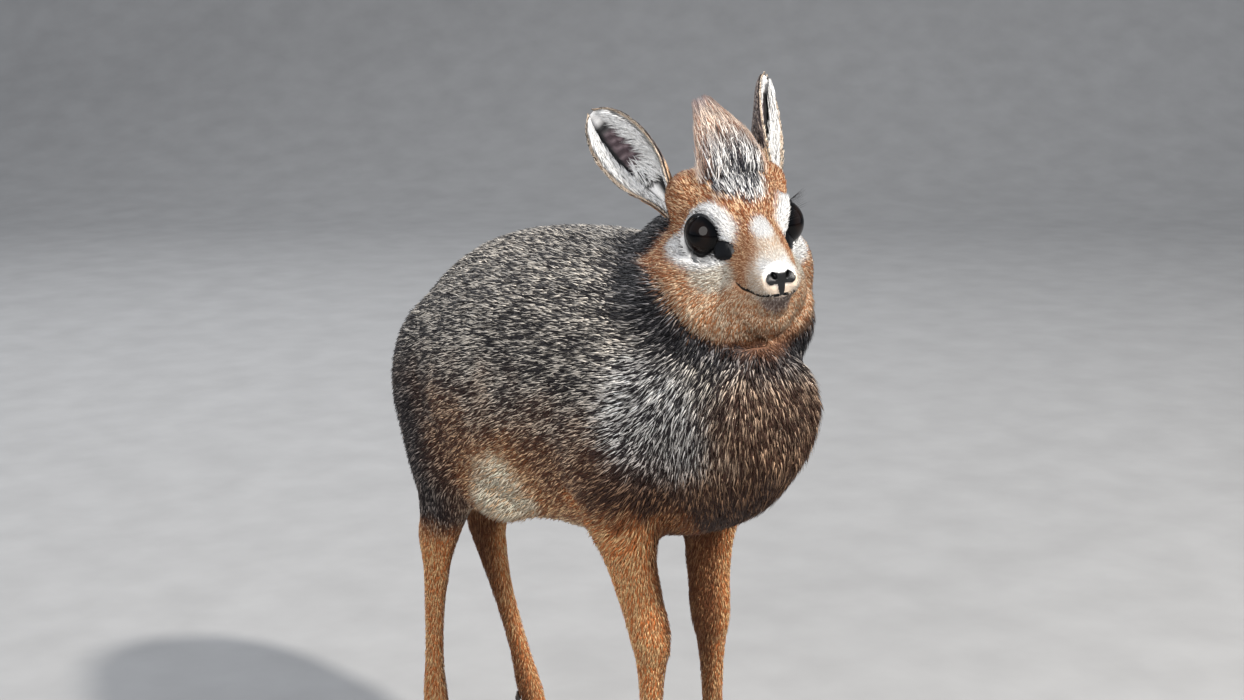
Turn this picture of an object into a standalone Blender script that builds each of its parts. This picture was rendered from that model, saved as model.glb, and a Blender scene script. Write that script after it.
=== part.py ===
"""A standing dik-dik, life size, parted into named solids.

The shapes below are in millimetres and the finished meshes in metres, with +Z up. The animal
faces -Y, its left side is +X and the floor is z = 0. The flesh is modelled whole from tubes and
ellipsoids, fused, smoothed, and parted with thin cuts. Ears, eyes, crest, tail, lower legs, claws
and dewclaws are solids of their own, cut clear of what they grow from.
"""
import math
import random

import bmesh
import bpy
from mathutils import Matrix, Vector

MM = 0.001
GAP = 0.3

# Driving dimensions of the animal, as heights above the floor.
WITHERS_HEIGHT = 371
BELLY_HEIGHT = 186
ELBOW_CUT_HEIGHT = 183
KNEE_CUT_HEIGHT = 138
CORONET_HEIGHT = 13

# The head's own frame starts midway between the eyes. There the mouth is level and faces -Y.
EYE_LINE = Vector((7, -150, 382))
HEAD_TURN = math.radians(-22)
HEAD_NOD = math.radians(5)
HEAD_TILT = math.radians(-6)

# The left eye in the head's frame. The right one mirrors it.
EYE_RADIUS = 12.8
EYE_CENTRE = Vector((20.2, 6.0, -2.4))
EYE_FACING = Vector((0.86, -0.50, 0.10)).normalized()
LID_THICKNESS = 1.6
LID_OPENING = math.radians(57)
LID_RIM = math.radians(86)

# Triangles kept in the fused flesh and in the fused head.
BODY_TRIANGLES = 4600
HEAD_TRIANGLES = 3100

COLOURS = {
    "grizzled_coat": ((0.23, 0.19, 0.16, 1), 0.85),
    "russet_coat": ((0.45, 0.24, 0.12, 1), 0.85),
    "pale_coat": ((0.80, 0.76, 0.72, 1), 0.85),
    "crest_coat": ((0.42, 0.34, 0.29, 1), 0.85),
    "eye": ((0.02, 0.015, 0.012, 1), 0.05),
    "horn": ((0.05, 0.045, 0.04, 1), 0.45),
}


def clear_scene():
    for thing in list(bpy.data.objects):
        bpy.data.objects.remove(thing)


def material(name):
    found = bpy.data.materials.get(name)
    if found:
        return found
    colour, roughness = COLOURS[name]
    made = bpy.data.materials.new(name)
    made.use_nodes = True
    shader = made.node_tree.nodes["Principled BSDF"]
    shader.inputs["Base Color"].default_value = colour
    shader.inputs["Roughness"].default_value = roughness
    shader.inputs["Metallic"].default_value = 0.0
    return made


def add_object(name, bm, slot="grizzled_coat"):
    """A mesh object from the bmesh, with its faces pointing out."""
    bmesh.ops.recalc_face_normals(bm, faces=bm.faces)
    mesh = bpy.data.meshes.new(name)
    bm.to_mesh(mesh)
    bm.free()
    mesh.materials.append(material(slot))
    made = bpy.data.objects.new(name, mesh)
    bpy.context.scene.collection.objects.link(made)
    return made


def as_bmesh(thing):
    bm = bmesh.new()
    bm.from_mesh(thing.data)
    return bm


def apply_modifiers(thing):
    bpy.context.view_layer.update()
    graph = bpy.context.evaluated_depsgraph_get()
    mesh = bpy.data.meshes.new_from_object(thing.evaluated_get(graph))
    thing.modifiers.clear()
    thing.data = mesh
    return thing


def islands(bm):
    """The separate closed surfaces of the bmesh, each as a list of faces."""
    left = dict.fromkeys(bm.faces)
    found = []
    while left:
        start = next(iter(left))
        del left[start]
        island = [start]
        for face in island:
            for edge in face.edges:
                for other in edge.link_faces:
                    if other in left:
                        del left[other]
                        island.append(other)
        found.append(island)
    return found


def keep_island(bm, kept):
    """Deletes every face that isn't in the kept island, with the points that then lie loose."""
    kept = set(kept)
    dropped = [face for face in bm.faces if face not in kept]
    bmesh.ops.delete(bm, geom=dropped, context="FACES")


def keep_largest(thing):
    bm = as_bmesh(thing)
    keep_island(bm, max(islands(bm), key=lambda island: sum(f.calc_area() for f in island)))
    bm.to_mesh(thing.data)
    bm.free()
    return thing


def combine(thing, others, operation):
    """One Boolean of the thing with a list of other objects, which are then removed."""
    group = bpy.data.collections.new("operands")
    for other in others:
        group.objects.link(other)
    modifier = thing.modifiers.new("combine", "BOOLEAN")
    modifier.operation = operation
    modifier.operand_type = "COLLECTION"
    modifier.collection = group
    modifier.solver = "EXACT"
    apply_modifiers(thing)
    for other in others:
        bpy.data.objects.remove(other)
    bpy.data.collections.remove(group)
    return keep_largest(thing)


def grown(thing):
    """A copy of the thing that is one gap larger all round."""
    bm = as_bmesh(thing)
    bm.normal_update()
    moves = [(vertex, vertex.normal * GAP) for vertex in bm.verts]
    for vertex, move in moves:
        vertex.co += move
    return add_object(thing.name + "_grown", bm)


def clear_of(thing, *roots):
    """Cuts the thing where it meets its roots, with a gap between the faces."""
    return combine(thing, [grown(root) for root in roots], "DIFFERENCE")


def sliced(thing, name, planes, slot):
    """A copy of the thing on the far side of each plane, given as a point and a normal."""
    bm = as_bmesh(thing)
    for point, normal in planes:
        everything = [*bm.verts, *bm.edges, *bm.faces]
        bmesh.ops.bisect_plane(bm, geom=everything, dist=0.0001, plane_co=point,
                               plane_no=normal, clear_inner=True)
        rim = [edge for edge in bm.edges if edge.is_boundary]
        bmesh.ops.edgeloop_fill(bm, edges=rim)
    bmesh.ops.triangulate(bm, faces=bm.faces)
    return add_object(name, bm, slot)


def smooth_step(low, high, value):
    share = min(1.0, max(0.0, (value - low) / (high - low)))
    return share * share * (3 - 2 * share)


def through(stations, steps):
    """A smooth curve through the stations: every number of a station is interpolated alike."""
    ends = [stations[0], *stations, stations[-1]]
    made = []
    for before, start, end, after in zip(ends, ends[1:], ends[2:], ends[3:]):
        for step in range(steps):
            t = step / steps
            made.append([
                0.5 * (2 * b + (c - a) * t + (2 * a - 5 * b + 4 * c - d) * t * t
                       + (3 * b - a - 3 * c + d) * t ** 3)
                for a, b, c, d in zip(before, start, end, after)
            ])
    made.append(list(stations[-1]))
    return made


def add_rings(bm, rings):
    """Skins rows of points into a closed tube, with a flat cap at each end."""
    rows = [[bm.verts.new(point) for point in ring] for ring in rings]
    for near, far in zip(rows, rows[1:]):
        for i in range(len(near)):
            j = (i + 1) % len(near)
            bm.faces.new((near[i], near[j], far[j], far[i]))
    bm.faces.new(rows[0])
    bm.faces.new(list(reversed(rows[-1])))


def oval_ring(centre, side, other, wide, deep, top_pinch, low_pinch, sides):
    """An oval across a tube. Each pinch narrows one half of it towards its edge."""
    ring = []
    for i in range(sides):
        turn = 2 * math.pi * i / sides
        height = math.sin(turn)
        narrow = 1 - top_pinch * max(0.0, height) - low_pinch * max(0.0, -height)
        ring.append(centre + side * wide * narrow * math.cos(turn) + other * deep * height)
    return ring


def add_tube(bm, stations, sides=20, steps=4, place=Matrix()):
    """A tube through stations (x, y, z, half width, half depth, pinches), its ends domed.

    The width lies along X, and the depth across both X and the way that the tube runs.
    """
    padded = [[*station, *([0] * (7 - len(station)))] for station in stations]
    path = through(padded, steps)
    points = [Vector(p[:3]) for p in path]
    last = len(points) - 1
    upward = Vector((0, -0.5, 1))
    rings = []
    for i, (wide, deep, top_pinch, low_pinch) in enumerate(p[3:] for p in path):
        way = (points[min(i + 1, last)] - points[max(i - 1, 0)]).normalized()
        side = (Vector((1, 0, 0)) - way * way.x).normalized()
        other = side.cross(way)
        if other.dot(upward) < 0:
            other = -other
        upward = other
        dome = [(0.0, 1.0)]
        if i in (0, last):
            dome += [(0.6, 0.81), (1.0, 0.24)]
        outward = way if i == last else -way
        ends = [
            oval_ring(points[i] + outward * min(wide, deep) * 0.45 * far, side, other,
                      wide * size, deep * size, top_pinch, low_pinch, sides)
            for far, size in dome
        ]
        rings += ends if i else reversed(ends)
    before = set(bm.verts)
    add_rings(bm, rings)
    bmesh.ops.transform(bm, matrix=place, verts=[v for v in bm.verts if v not in before])


def add_ball(bm, centre, radii, turn=(0, 0, 0), place=Matrix(), detail=3):
    """An ellipsoid with the three radii, turned by degrees about X, Y and Z."""
    x, y, z = (math.radians(t) for t in turn)
    spin = Matrix.Rotation(z, 4, "Z") @ Matrix.Rotation(y, 4, "Y") @ Matrix.Rotation(x, 4, "X")
    where = place @ Matrix.Translation(centre) @ spin @ Matrix.Diagonal((*radii, 1))
    bmesh.ops.create_icosphere(bm, subdivisions=detail, radius=1.0, matrix=where)


def head_place():
    """From the head's own frame to the animal's."""
    return (Matrix.Translation(EYE_LINE) @ Matrix.Rotation(HEAD_TURN, 4, "Z")
            @ Matrix.Rotation(HEAD_NOD, 4, "X") @ Matrix.Rotation(HEAD_TILT, 4, "Y"))


# The trunk from rump to breast: y, top, bottom, half width and how its keel narrows.
TRUNK = (
    (142, 270, 236, 20, 0),
    (130, 290, 212, 35, 0),
    (108, 313, 197, 49, 0),
    (80, 335, 188, 60, 0),
    (44, 355, 184, 69, 0),
    (6, 366, BELLY_HEIGHT, 73, 0.05),
    (-40, WITHERS_HEIGHT, 188, 71, 0.12),
    (-80, 370, 193, 67, 0.2),
    (-120, 357, 203, 60, 0.25),
    (-152, 342, 221, 51, 0.25),
    (-176, 326, 247, 38, 0.2),
)

# The neck, with its root deep in the trunk and its top in the head.
NECK = (
    (0, -88, 300, 58, 56),
    (6, -112, 326, 54, 52),
    (13, -124, 348, 49, 45),
    (15, -126, 370, 38, 36),
    (15, -126, 385, 27, 25),
)

# Each leg from its root in the trunk to the coronet of its hoof.
LEGS = {
    "foreleg_right": (
        (-38, -98, 262, 26, 40),
        (-38, -97, 228, 23, 30),
        (-35, -101, 200, 17, 21),
        (-31, -108, 170, 13, 15),
        (-29, -114, 147, 12, 13),
        (-28, -113, 128, 8.5, 9.5),
        (-28, -113, 100, 6.6, 7.8),
        (-28, -113, 68, 6.6, 8),
        (-28, -115, 44, 8.6, 10),
        (-28, -119, 27, 8.2, 8.6),
        (-28, -124, CORONET_HEIGHT, 9.5, 10),
    ),
    "foreleg_left": (
        (34, -98, 262, 26, 40),
        (33, -95, 228, 23, 30),
        (29, -96, 200, 17, 21),
        (26, -100, 170, 13, 15),
        (24, -104, 147, 12, 13),
        (25, -104, 128, 8.5, 9.5),
        (26, -104, 100, 6.6, 7.8),
        (27, -104, 68, 6.6, 8),
        (27, -106, 44, 8.6, 10),
        (27, -110, 27, 8.2, 8.6),
        (27, -115, CORONET_HEIGHT, 9.5, 10),
    ),
    "hindleg_right": (
        (-32, 80, 270, 30, 48),
        (-34, 76, 232, 27, 45),
        (-35, 79, 200, 21, 32),
        (-34, 87, 175, 15, 20),
        (-33, 94, 156, 12, 16),
        (-33, 96, 136, 8.8, 11.5),
        (-34, 98, 105, 6.8, 8.2),
        (-35, 98, 70, 6.8, 8.2),
        (-35, 97, 45, 8.8, 10.2),
        (-35, 93, 27, 8.4, 8.8),
        (-35, 88, CORONET_HEIGHT, 9.5, 10),
    ),
    "hindleg_left": (
        (32, 80, 270, 30, 48),
        (31, 82, 232, 27, 45),
        (24, 92, 200, 22, 34),
        (19, 106, 175, 17, 23),
        (18, 112, 156, 13.5, 18),
        (19, 109, 136, 10, 13.5),
        (22, 100, 105, 7.2, 9),
        (26, 89, 70, 6.8, 8.2),
        (28, 81, 45, 8.8, 10.2),
        (30, 74, 27, 8.4, 8.8),
        (31, 68, CORONET_HEIGHT, 9.5, 10),
    ),
}
UPPER_STATIONS = 7

# The skull and muzzle in the head's frame: y, top, bottom, half width, upper and lower pinch.
SKULL = (
    (-41, -9, -31, 9.5, 0.2, 0.1),
    (-34, -3, -38, 13, 0.3, 0.15),
    (-25, 4, -43, 17, 0.35, 0.15),
    (-13, 11, -48, 21, 0.35, 0.1),
    (0, 18, -52, 28, 0.2, 0),
    (14, 26, -55, 33, 0.1, 0),
    (28, 30, -54, 36, 0.05, 0),
    (42, 26, -50, 33, 0, 0),
    (52, 18, -44, 28, 0, 0),
)

TAIL = (
    (0, 124, 284, 11, 8),
    (0, 140, 272, 10, 7.5),
    (0, 148, 256, 8, 6.5),
    (0, 149, 238, 4, 3.5),
)


def add_trunk(bm):
    stations = [
        (0, y, (top + low) / 2, wide, (top - low) / 2, 0, keel)
        for y, top, low, wide, keel in TRUNK
    ]
    add_tube(bm, stations, sides=32)
    for side in (-1, 1):
        haunch, shoulder, flank = (32 * side, 74, 256), (32 * side, -88, 276), (24 * side, 38, 218)
        add_ball(bm, haunch, (32, 54, 64), turn=(-12, 0, 0))
        add_ball(bm, shoulder, (36, 48, 66), turn=(14, 0, 0))
        add_ball(bm, flank, (30, 58, 36))


def add_neck(bm):
    add_tube(bm, NECK, sides=28)
    nape, ruff = (13, -104, 356), (24, -134, 330)
    add_ball(bm, nape, (36, 42, 34))
    add_ball(bm, ruff, (36, 38, 38))


def add_upper_legs(bm):
    """The legs down to just under the knee and the hock, where the cannons begin."""
    for stations in LEGS.values():
        add_tube(bm, stations[:UPPER_STATIONS], sides=20)


def add_skull(bm):
    place = head_place()
    stations = [
        (0, y, (top + low) / 2, wide, (top - low) / 2, upper, lower)
        for y, top, low, wide, upper, lower in SKULL
    ]
    add_tube(bm, stations, sides=28, place=place)
    for side in (-1, 1):
        cheek, brow, jowl = (22 * side, 23, -33), (18 * side, 3, 2), (12 * side, -4, -34)
        ear_base, lip = (22 * side, 33, 11), (6.5 * side, -36, -20)
        add_ball(bm, cheek, (22, 27, 27), place=place)
        add_ball(bm, brow, (12.5, 15, 14), place=place)
        add_ball(bm, jowl, (17, 22, 20), place=place)
        add_ball(bm, ear_base, (13, 15, 17), place=place)
        add_ball(bm, lip, (7.5, 10, 8.5), place=place)
    chin, jaw, throat = (0, -31, -35), (0, -13, -45), (0, 12, -41)
    add_ball(bm, chin, (10, 9, 5), place=place)
    add_ball(bm, jaw, (17, 21, 14), turn=(-18, 0, 0), place=place)
    add_ball(bm, throat, (33, 35, 28), place=place)


def fused(name, builders, voxel, smoothing, softness, triangles):
    """One closed surface round all that the builders add, smoothed where softness says."""
    bm = bmesh.new()
    for build in builders:
        build(bm)
    thing = add_object(name, bm)
    remesh = thing.modifiers.new("fuse", "REMESH")
    remesh.mode = "VOXEL"
    remesh.voxel_size = voxel
    apply_modifiers(thing)
    group = thing.vertex_groups.new(name="soft")
    for vertex in thing.data.vertices:
        group.add([vertex.index], softness(vertex.co), "REPLACE")
    smooth = thing.modifiers.new("smooth", "SMOOTH")
    smooth.factor = 0.5
    smooth.iterations = smoothing
    smooth.vertex_group = "soft"
    apply_modifiers(thing)
    decimate = thing.modifiers.new("thin_out", "DECIMATE")
    decimate.ratio = triangles / (2 * len(thing.data.polygons))
    decimate.use_collapse_triangulate = True
    apply_modifiers(thing)
    thing.vertex_groups.clear()
    return keep_largest(thing)


def body_softness(point):
    """The trunk's joints are blended widely, and the thin legs hardly at all."""
    return 0.1 + 0.9 * smooth_step(160, 215, point.z)


def head_softness(point):
    """The muzzle keeps its lips, and the cheeks and the crown are blended."""
    local = head_place().inverted() @ point
    return 0.15 + 0.85 * smooth_step(-34, -6, local.y)


# The neck's root is a ball round the head, and its top a plane behind the jaw. The muzzle's ball
# holds what reaches out of the neck's one in front.
NECK_BALL_CENTRE = Vector((10, -134, 372))
NECK_BALL_RADIUS = 63
MUZZLE_BALL_CENTRE = Vector((0, -24, -6))
MUZZLE_BALL_RADIUS = 38
NAPE = Vector((0, 44, -8))
BEHIND_JAW = Vector((0, -0.868, 0.496))


def neck_ball(grow):
    bm = bmesh.new()
    size = NECK_BALL_RADIUS + grow
    add_ball(bm, NECK_BALL_CENTRE, (size, size, size), detail=4)
    return add_object("neck_ball", bm)


def head_region():
    """Both balls, which together hold the head and no more of the neck's tube than the neck has."""
    bm = bmesh.new()
    size = MUZZLE_BALL_RADIUS
    add_ball(bm, MUZZLE_BALL_CENTRE, (size, size, size), place=head_place(), detail=4)
    return combine(add_object("muzzle_ball", bm), [neck_ball(0)], "UNION")


def part_trunk(flesh):
    """The torso, the neck and the four upper legs, from the one flesh."""
    floor_side, sky_side = Vector((0, 0, -1)), Vector((0, 0, 1))
    above = Vector((0, 0, ELBOW_CUT_HEIGHT + GAP))
    torso = sliced(flesh, "torso", [(above, sky_side)], "grizzled_coat")
    neck = sliced(torso, "neck", [], "grizzled_coat")
    combine(torso, [neck_ball(GAP)], "DIFFERENCE")
    combine(neck, [neck_ball(0)], "INTERSECT")
    place = head_place()
    turned = place.to_3x3() @ BEHIND_JAW
    behind = place @ NAPE - turned * GAP
    whole_neck = neck
    neck = sliced(whole_neck, "neck_part", [(behind, -turned)], "grizzled_coat")
    bpy.data.objects.remove(whole_neck)
    neck.name = "neck"
    keep_largest(neck)
    stubs = sliced(flesh, "stubs", [
        (Vector((0, 0, ELBOW_CUT_HEIGHT)), floor_side),
        (Vector((0, 0, KNEE_CUT_HEIGHT + GAP)), sky_side),
    ], "russet_coat")
    legs = {}
    for name, stations in LEGS.items():
        legs[name] = pick_stub(stubs, f"{name}_upper", Vector(stations[3][:3]))
    bpy.data.objects.remove(stubs)
    return torso, neck, legs


def pick_stub(stubs, name, near):
    """The island of the stubs that lies nearest to a point, as an object of its own."""
    bm = as_bmesh(stubs)

    def distance(island):
        middle = sum((face.calc_center_median() for face in island), Vector()) / len(island)
        return (middle - near).length

    keep_island(bm, min(islands(bm), key=distance))
    return add_object(name, bm, "russet_coat")


def lower_leg(name, stations):
    """From the knee's cut to the flat on which the hoof's claws begin."""
    bm = bmesh.new()
    add_tube(bm, stations[UPPER_STATIONS - 3:], sides=12, steps=3)
    whole = add_object("whole_leg", bm)
    made = sliced(whole, f"{name}_lower", [
        (Vector((0, 0, KNEE_CUT_HEIGHT)), Vector((0, 0, -1))),
        (Vector((0, 0, CORONET_HEIGHT)), Vector((0, 0, 1))),
    ], "russet_coat")
    bpy.data.objects.remove(whole)
    return made


# A claw's rings from sole to coronet: height, tip, heel and half width, from the coronet's middle.
CLAW_RINGS = (
    (0.0, -19.0, 9.0, 4.2),
    (3.5, -18.2, 9.6, 4.6),
    (8.0, -13.5, 9.4, 4.5),
    (CORONET_HEIGHT - GAP, -8.0, 8.6, 4.0),
)
CLAW_SIDES = 12
CLAW_SPREAD = 4.9
DEWCLAW_SPREAD = 4.5


def claw(name, foot, side):
    """One of the two pointed claws of a hoof, flat below and flat on top."""
    bm = bmesh.new()
    rings = []
    for height, tip, heel, wide in CLAW_RINGS:
        ring = []
        for i in range(CLAW_SIDES):
            turn = 2 * math.pi * i / CLAW_SIDES
            along = -math.cos(turn)
            reach = -tip if along < 0 else heel
            taper = 1 - 0.45 * max(0.0, -along)
            across = wide * math.sin(turn) * taper
            ring.append(Vector((foot[0] + side * CLAW_SPREAD + across,
                                foot[1] + along * reach, height)))
        rings.append(ring)
    add_rings(bm, rings)
    return add_object(name, bm, "horn")


def dewclaw(name, stations, side, leg):
    """A small blunt horn behind the fetlock, cut clear of the leg."""
    x, y, z, _, deep = ((a + b) / 2 for a, b in zip(stations[-3], stations[-2]))
    top = (x + side * DEWCLAW_SPREAD, y + deep - 1.2, z + 3.2, 2.2, 2.6)
    tip = (x + side * DEWCLAW_SPREAD, y + deep + 2.0, z - 3.2, 1.9, 2.0)
    bm = bmesh.new()
    add_tube(bm, (top, tip), sides=6, steps=1)
    return clear_of(add_object(name, bm, "horn"), leg)


def tail(torso):
    bm = bmesh.new()
    add_tube(bm, TAIL, sides=10, steps=3)
    return clear_of(add_object("tail", bm, "grizzled_coat"), torso)


def mirrored(vector, side):
    return Vector((vector.x * side, vector.y, vector.z))


def eye_axes(side):
    """The way an eye faces, the way to its front corner and the way up along the lids."""
    facing = mirrored(EYE_FACING, side)
    up = (Vector((0, 0, 1)) - facing * facing.z).normalized()
    front = up.cross(facing)
    if front.y > 0:
        front = -front
    return facing, front, up


def lid_angle(turn):
    """How far the lids open from the eye's middle: an almond with a pointed front corner."""
    corner = max(0.0, math.cos(turn)) ** 6
    return LID_OPENING * (1 + 0.02 * math.cos(turn) ** 2 + 0.15 * corner)


def lid_point(side, turn, angle, radius):
    facing, front, up = eye_axes(side)
    out = front * math.cos(turn) + up * math.sin(turn)
    way = facing * math.cos(angle) + out * math.sin(angle)
    return head_place() @ (mirrored(EYE_CENTRE, side) + way * radius)


LID_STEPS = 28


def lids(side):
    """A ring of lid, rounded at its edge, that lies on the eyeball and sinks into the head."""
    bm = bmesh.new()
    inner, outer = EYE_RADIUS + GAP * 0.5, EYE_RADIUS + LID_THICKNESS
    rows = []
    for i in range(LID_STEPS):
        turn = 2 * math.pi * i / LID_STEPS
        edge = lid_angle(turn)
        profile = ((edge, inner), (edge - 0.02, (inner + outer) / 2), (edge + 0.07, outer),
                   (edge + 0.2, outer), (LID_RIM, inner), (LID_RIM, inner - 3), (edge, inner - 3))
        rows.append([bm.verts.new(lid_point(side, turn, angle, radius))
                     for angle, radius in profile])
    for i in range(LID_STEPS):
        near, far = rows[i], rows[(i + 1) % LID_STEPS]
        for j in range(len(near)):
            k = (j + 1) % len(near)
            bm.faces.new((near[j], near[k], far[k], far[j]))
    return add_object("lids", bm)


def lid_opening(side):
    """The space in front of the eyeball that the lids leave open."""
    bm = bmesh.new()
    rings = []
    for radius in (2, EYE_RADIUS + 12):
        rings.append([lid_point(side, 2 * math.pi * i / LID_STEPS,
                                lid_angle(2 * math.pi * i / LID_STEPS), radius)
                      for i in range(LID_STEPS)])
    add_rings(bm, rings)
    return add_object("lid_opening", bm)


def eyeball(name, side, radius):
    bm = bmesh.new()
    add_ball(bm, mirrored(EYE_CENTRE, side), (radius, radius, radius), place=head_place(),
             detail=3)
    return add_object(name, bm, "eye")


# The mouth's line runs from corner to corner round the front of the lips.
MOUTH_CORNER = Vector((16.5, -24, -24.5))
MOUTH_FRONT = Vector((0, -50, -25.5))
MOUTH_DEPTH = 8
MOUTH_WIDTH = 0.9
MOUTH_STEPS = 12


def mouth_line():
    """A thin curved cutter along the parting of the lips."""
    place = head_place()
    bm = bmesh.new()
    rings = []
    for i in range(MOUTH_STEPS + 1):
        turn = math.pi * (i / MOUTH_STEPS - 0.5) * 1.06
        along, across = math.cos(turn), math.sin(turn)
        reach = MOUTH_CORNER.y - MOUTH_FRONT.y
        height = MOUTH_FRONT.z + (MOUTH_CORNER.z - MOUTH_FRONT.z) * across * across
        outer = Vector((MOUTH_CORNER.x * across * 1.15, MOUTH_CORNER.y - reach * along, height))
        inner = outer + Vector((-across * MOUTH_DEPTH, along * MOUTH_DEPTH, 0))
        lift = Vector((0, 0, MOUTH_WIDTH / 2))
        rings.append([place @ p for p in (outer + lift, outer - lift, inner - lift, inner + lift)])
    add_rings(bm, rings)
    return add_object("mouth_line", bm)


def nostrils():
    place = head_place()
    made = []
    for side in (-1, 1):
        bm = bmesh.new()
        centre = (4.1 * side, -45.4, -15)
        add_ball(bm, centre, (1.6, 4.5, 2.7), turn=(0, 28 * side, 24 * side), place=place, detail=2)
        made.append(add_object("nostril", bm))
    return made


def nose_pad():
    """The bare pad round the nostrils, raised a little from the muzzle."""
    place = head_place()
    made = []
    for centre, radii in (((0, -41.6, -15), (7.2, 4.4, 5.2)), ((0, -41.4, -21.5), (2.8, 3.6, 5.4))):
        bm = bmesh.new()
        add_ball(bm, centre, radii, place=place, detail=2)
        made.append(add_object("nose_pad", bm))
    return made


def head(fine_flesh):
    """The head with lids round both eyes, a nose pad with nostrils, and the mouth's line."""
    place = head_place()
    turned = place.to_3x3() @ BEHIND_JAW
    made = sliced(fine_flesh, "head", [(place @ NAPE, turned)], "russet_coat")
    combine(made, [head_region()], "INTERSECT")
    combine(made, [lids(-1), lids(1), *nose_pad()], "UNION")
    cutters = [mouth_line(), *nostrils()]
    for side in (-1, 1):
        cutters += [lid_opening(side), eyeball("socket", side, EYE_RADIUS + GAP)]
    return combine(made, cutters, "DIFFERENCE")


# An ear's length, its half width across the open cup, and its thickness.
EAR_LENGTH = 72
EAR_HALF_WIDTH = 19
EAR_WIDEST = 0.42
EAR_THICKNESS = 1.7
EAR_ROWS = 12
EAR_COLUMNS = 9
EARS = {
    "ear_right": (Vector((-29, 35, 4)), Vector((-31, 36, 50)), Vector((-0.62, -0.78, 0.1))),
    "ear_left": (Vector((31, 35, 4)), Vector((10, 36, 56)), Vector((0.78, -0.62, 0.1))),
}


def ear_half_width(along):
    """Half the ear's width, measured round its cup: a leaf that is widest below its middle."""
    widening = 0.45 + 0.55 * smooth_step(0, EAR_WIDEST, along)
    beyond = max(0.0, along - EAR_WIDEST) / (1 - EAR_WIDEST)
    return EAR_HALF_WIDTH * widening * max(0.1, math.sqrt(1 - beyond ** 2.3))


def ear_grid(bm, name, outside):
    """One face of an ear's cup, as rows of points from its root to its tip."""
    root, lean, opening = EARS[name]
    way = lean.normalized()
    front = (opening - way * opening.dot(way)).normalized()
    side = way.cross(front)
    place = head_place()
    grid = []
    for i in range(EAR_ROWS + 1):
        along = i / EAR_ROWS
        curl = math.radians(112 - 70 * smooth_step(0, 0.8, along))
        radius = ear_half_width(along) / curl
        reach = radius + (EAR_THICKNESS * (1 - 0.5 * along) if outside else 0)
        middle = root + way * EAR_LENGTH * along + front * radius * math.cos(curl)
        row = []
        for j in range(EAR_COLUMNS):
            turn = curl * (2 * j / (EAR_COLUMNS - 1) - 1)
            out = side * math.sin(turn) - front * math.cos(turn)
            row.append(bm.verts.new(place @ (middle + out * reach)))
        grid.append(row)
    for near, far in zip(grid, grid[1:]):
        for j in range(len(near) - 1):
            bm.faces.new((near[j], near[j + 1], far[j + 1]))
            bm.faces.new((near[j], far[j + 1], far[j]))
    return grid


def grid_rim(grid):
    """The points round the edge of a grid, in order."""
    start = [row[0] for row in grid]
    far = grid[-1][1:]
    back = [row[-1] for row in reversed(grid)][1:]
    return start + far + back + list(reversed(grid[0]))[1:-1]


def ear(name, head_solid):
    """A cupped leaf, rolled into a funnel at its root and nearly flat at its tip."""
    bm = bmesh.new()
    inner = grid_rim(ear_grid(bm, name, False))
    outer = grid_rim(ear_grid(bm, name, True))
    for i in range(len(inner)):
        k = (i + 1) % len(inner)
        bm.faces.new((inner[i], inner[k], outer[k], outer[i]))
    return clear_of(add_object(name, bm, "pale_coat"), head_solid)


# The crest from its root in the forehead to its tip: x, y, z, half width and half depth.
CREST = (
    (-2, 19, 14, 23, 17),
    (-2, 26, 32, 22, 13),
    (-3, 38, 46, 16, 9),
    (-6, 51, 59, 7, 4.5),
)
# Its core under the locks, which ends less than half way to their tips.
CREST_CORE = (
    (-2, 19, 14, 20, 14),
    (-3, 23, 26, 18, 10),
    (-3, 29, 36, 11, 6),
)
# The tiers of locks, from the forehead up: how many, start and end along the crest, and how far
# out they lie.
CREST_TIERS = (
    (9, 0.02, 0.6, 0.92),
    (7, 0.22, 0.82, 0.84),
    (6, 0.42, 1.0, 0.76),
    (3, 0.60, 1.12, 0.6),
)
# A lock's half width as a share of its tier's spacing there, and its half thickness.
LOCK_WIDTH = 0.52
LOCK_THICKNESS = 1.3
CREST_SEED = 4
# A lock's profile from root to tip: along it, how far out it has come, width and thickness.
LOCK_PROFILE = (
    (0.0, 0.5, 0.6, 1.0),
    (0.3, 1.0, 1.0, 1.0),
    (0.7, 1.08, 0.9, 0.8),
    (1.0, 1.16, 0.1, 0.25),
)


def crest_station(along):
    """The middle and the half sizes of the crest part way along it."""
    spot = min(0.9999, max(0.0, along)) * (len(CREST) - 1)
    first = int(spot)
    here = through(CREST[first:first + 2], 1)
    share = spot - first
    mixed = [a + (b - a) * share for a, b in zip(here[0], here[1])]
    beyond = max(0.0, along - 1) * (Vector(CREST[-1][:3]) - Vector(CREST[-2][:3]))
    return Vector(mixed[:3]) + beyond, mixed[3], mixed[4]


def crest_point(along, turn, out):
    """A point on the crest's form, with the way round it and the way out of it."""
    middle, wide, deep = crest_station(along)
    way = (crest_station(along + 0.05)[0] - crest_station(along - 0.05)[0]).normalized()
    side = Vector((1, 0, 0))
    over = side.cross(way).normalized()
    outward = side * math.cos(turn) * wide + over * math.sin(turn) * deep
    point = middle + outward * out
    round_way = (over * math.cos(turn) * deep - side * math.sin(turn) * wide).normalized()
    return point, round_way, round_way.cross(way).normalized()


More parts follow.
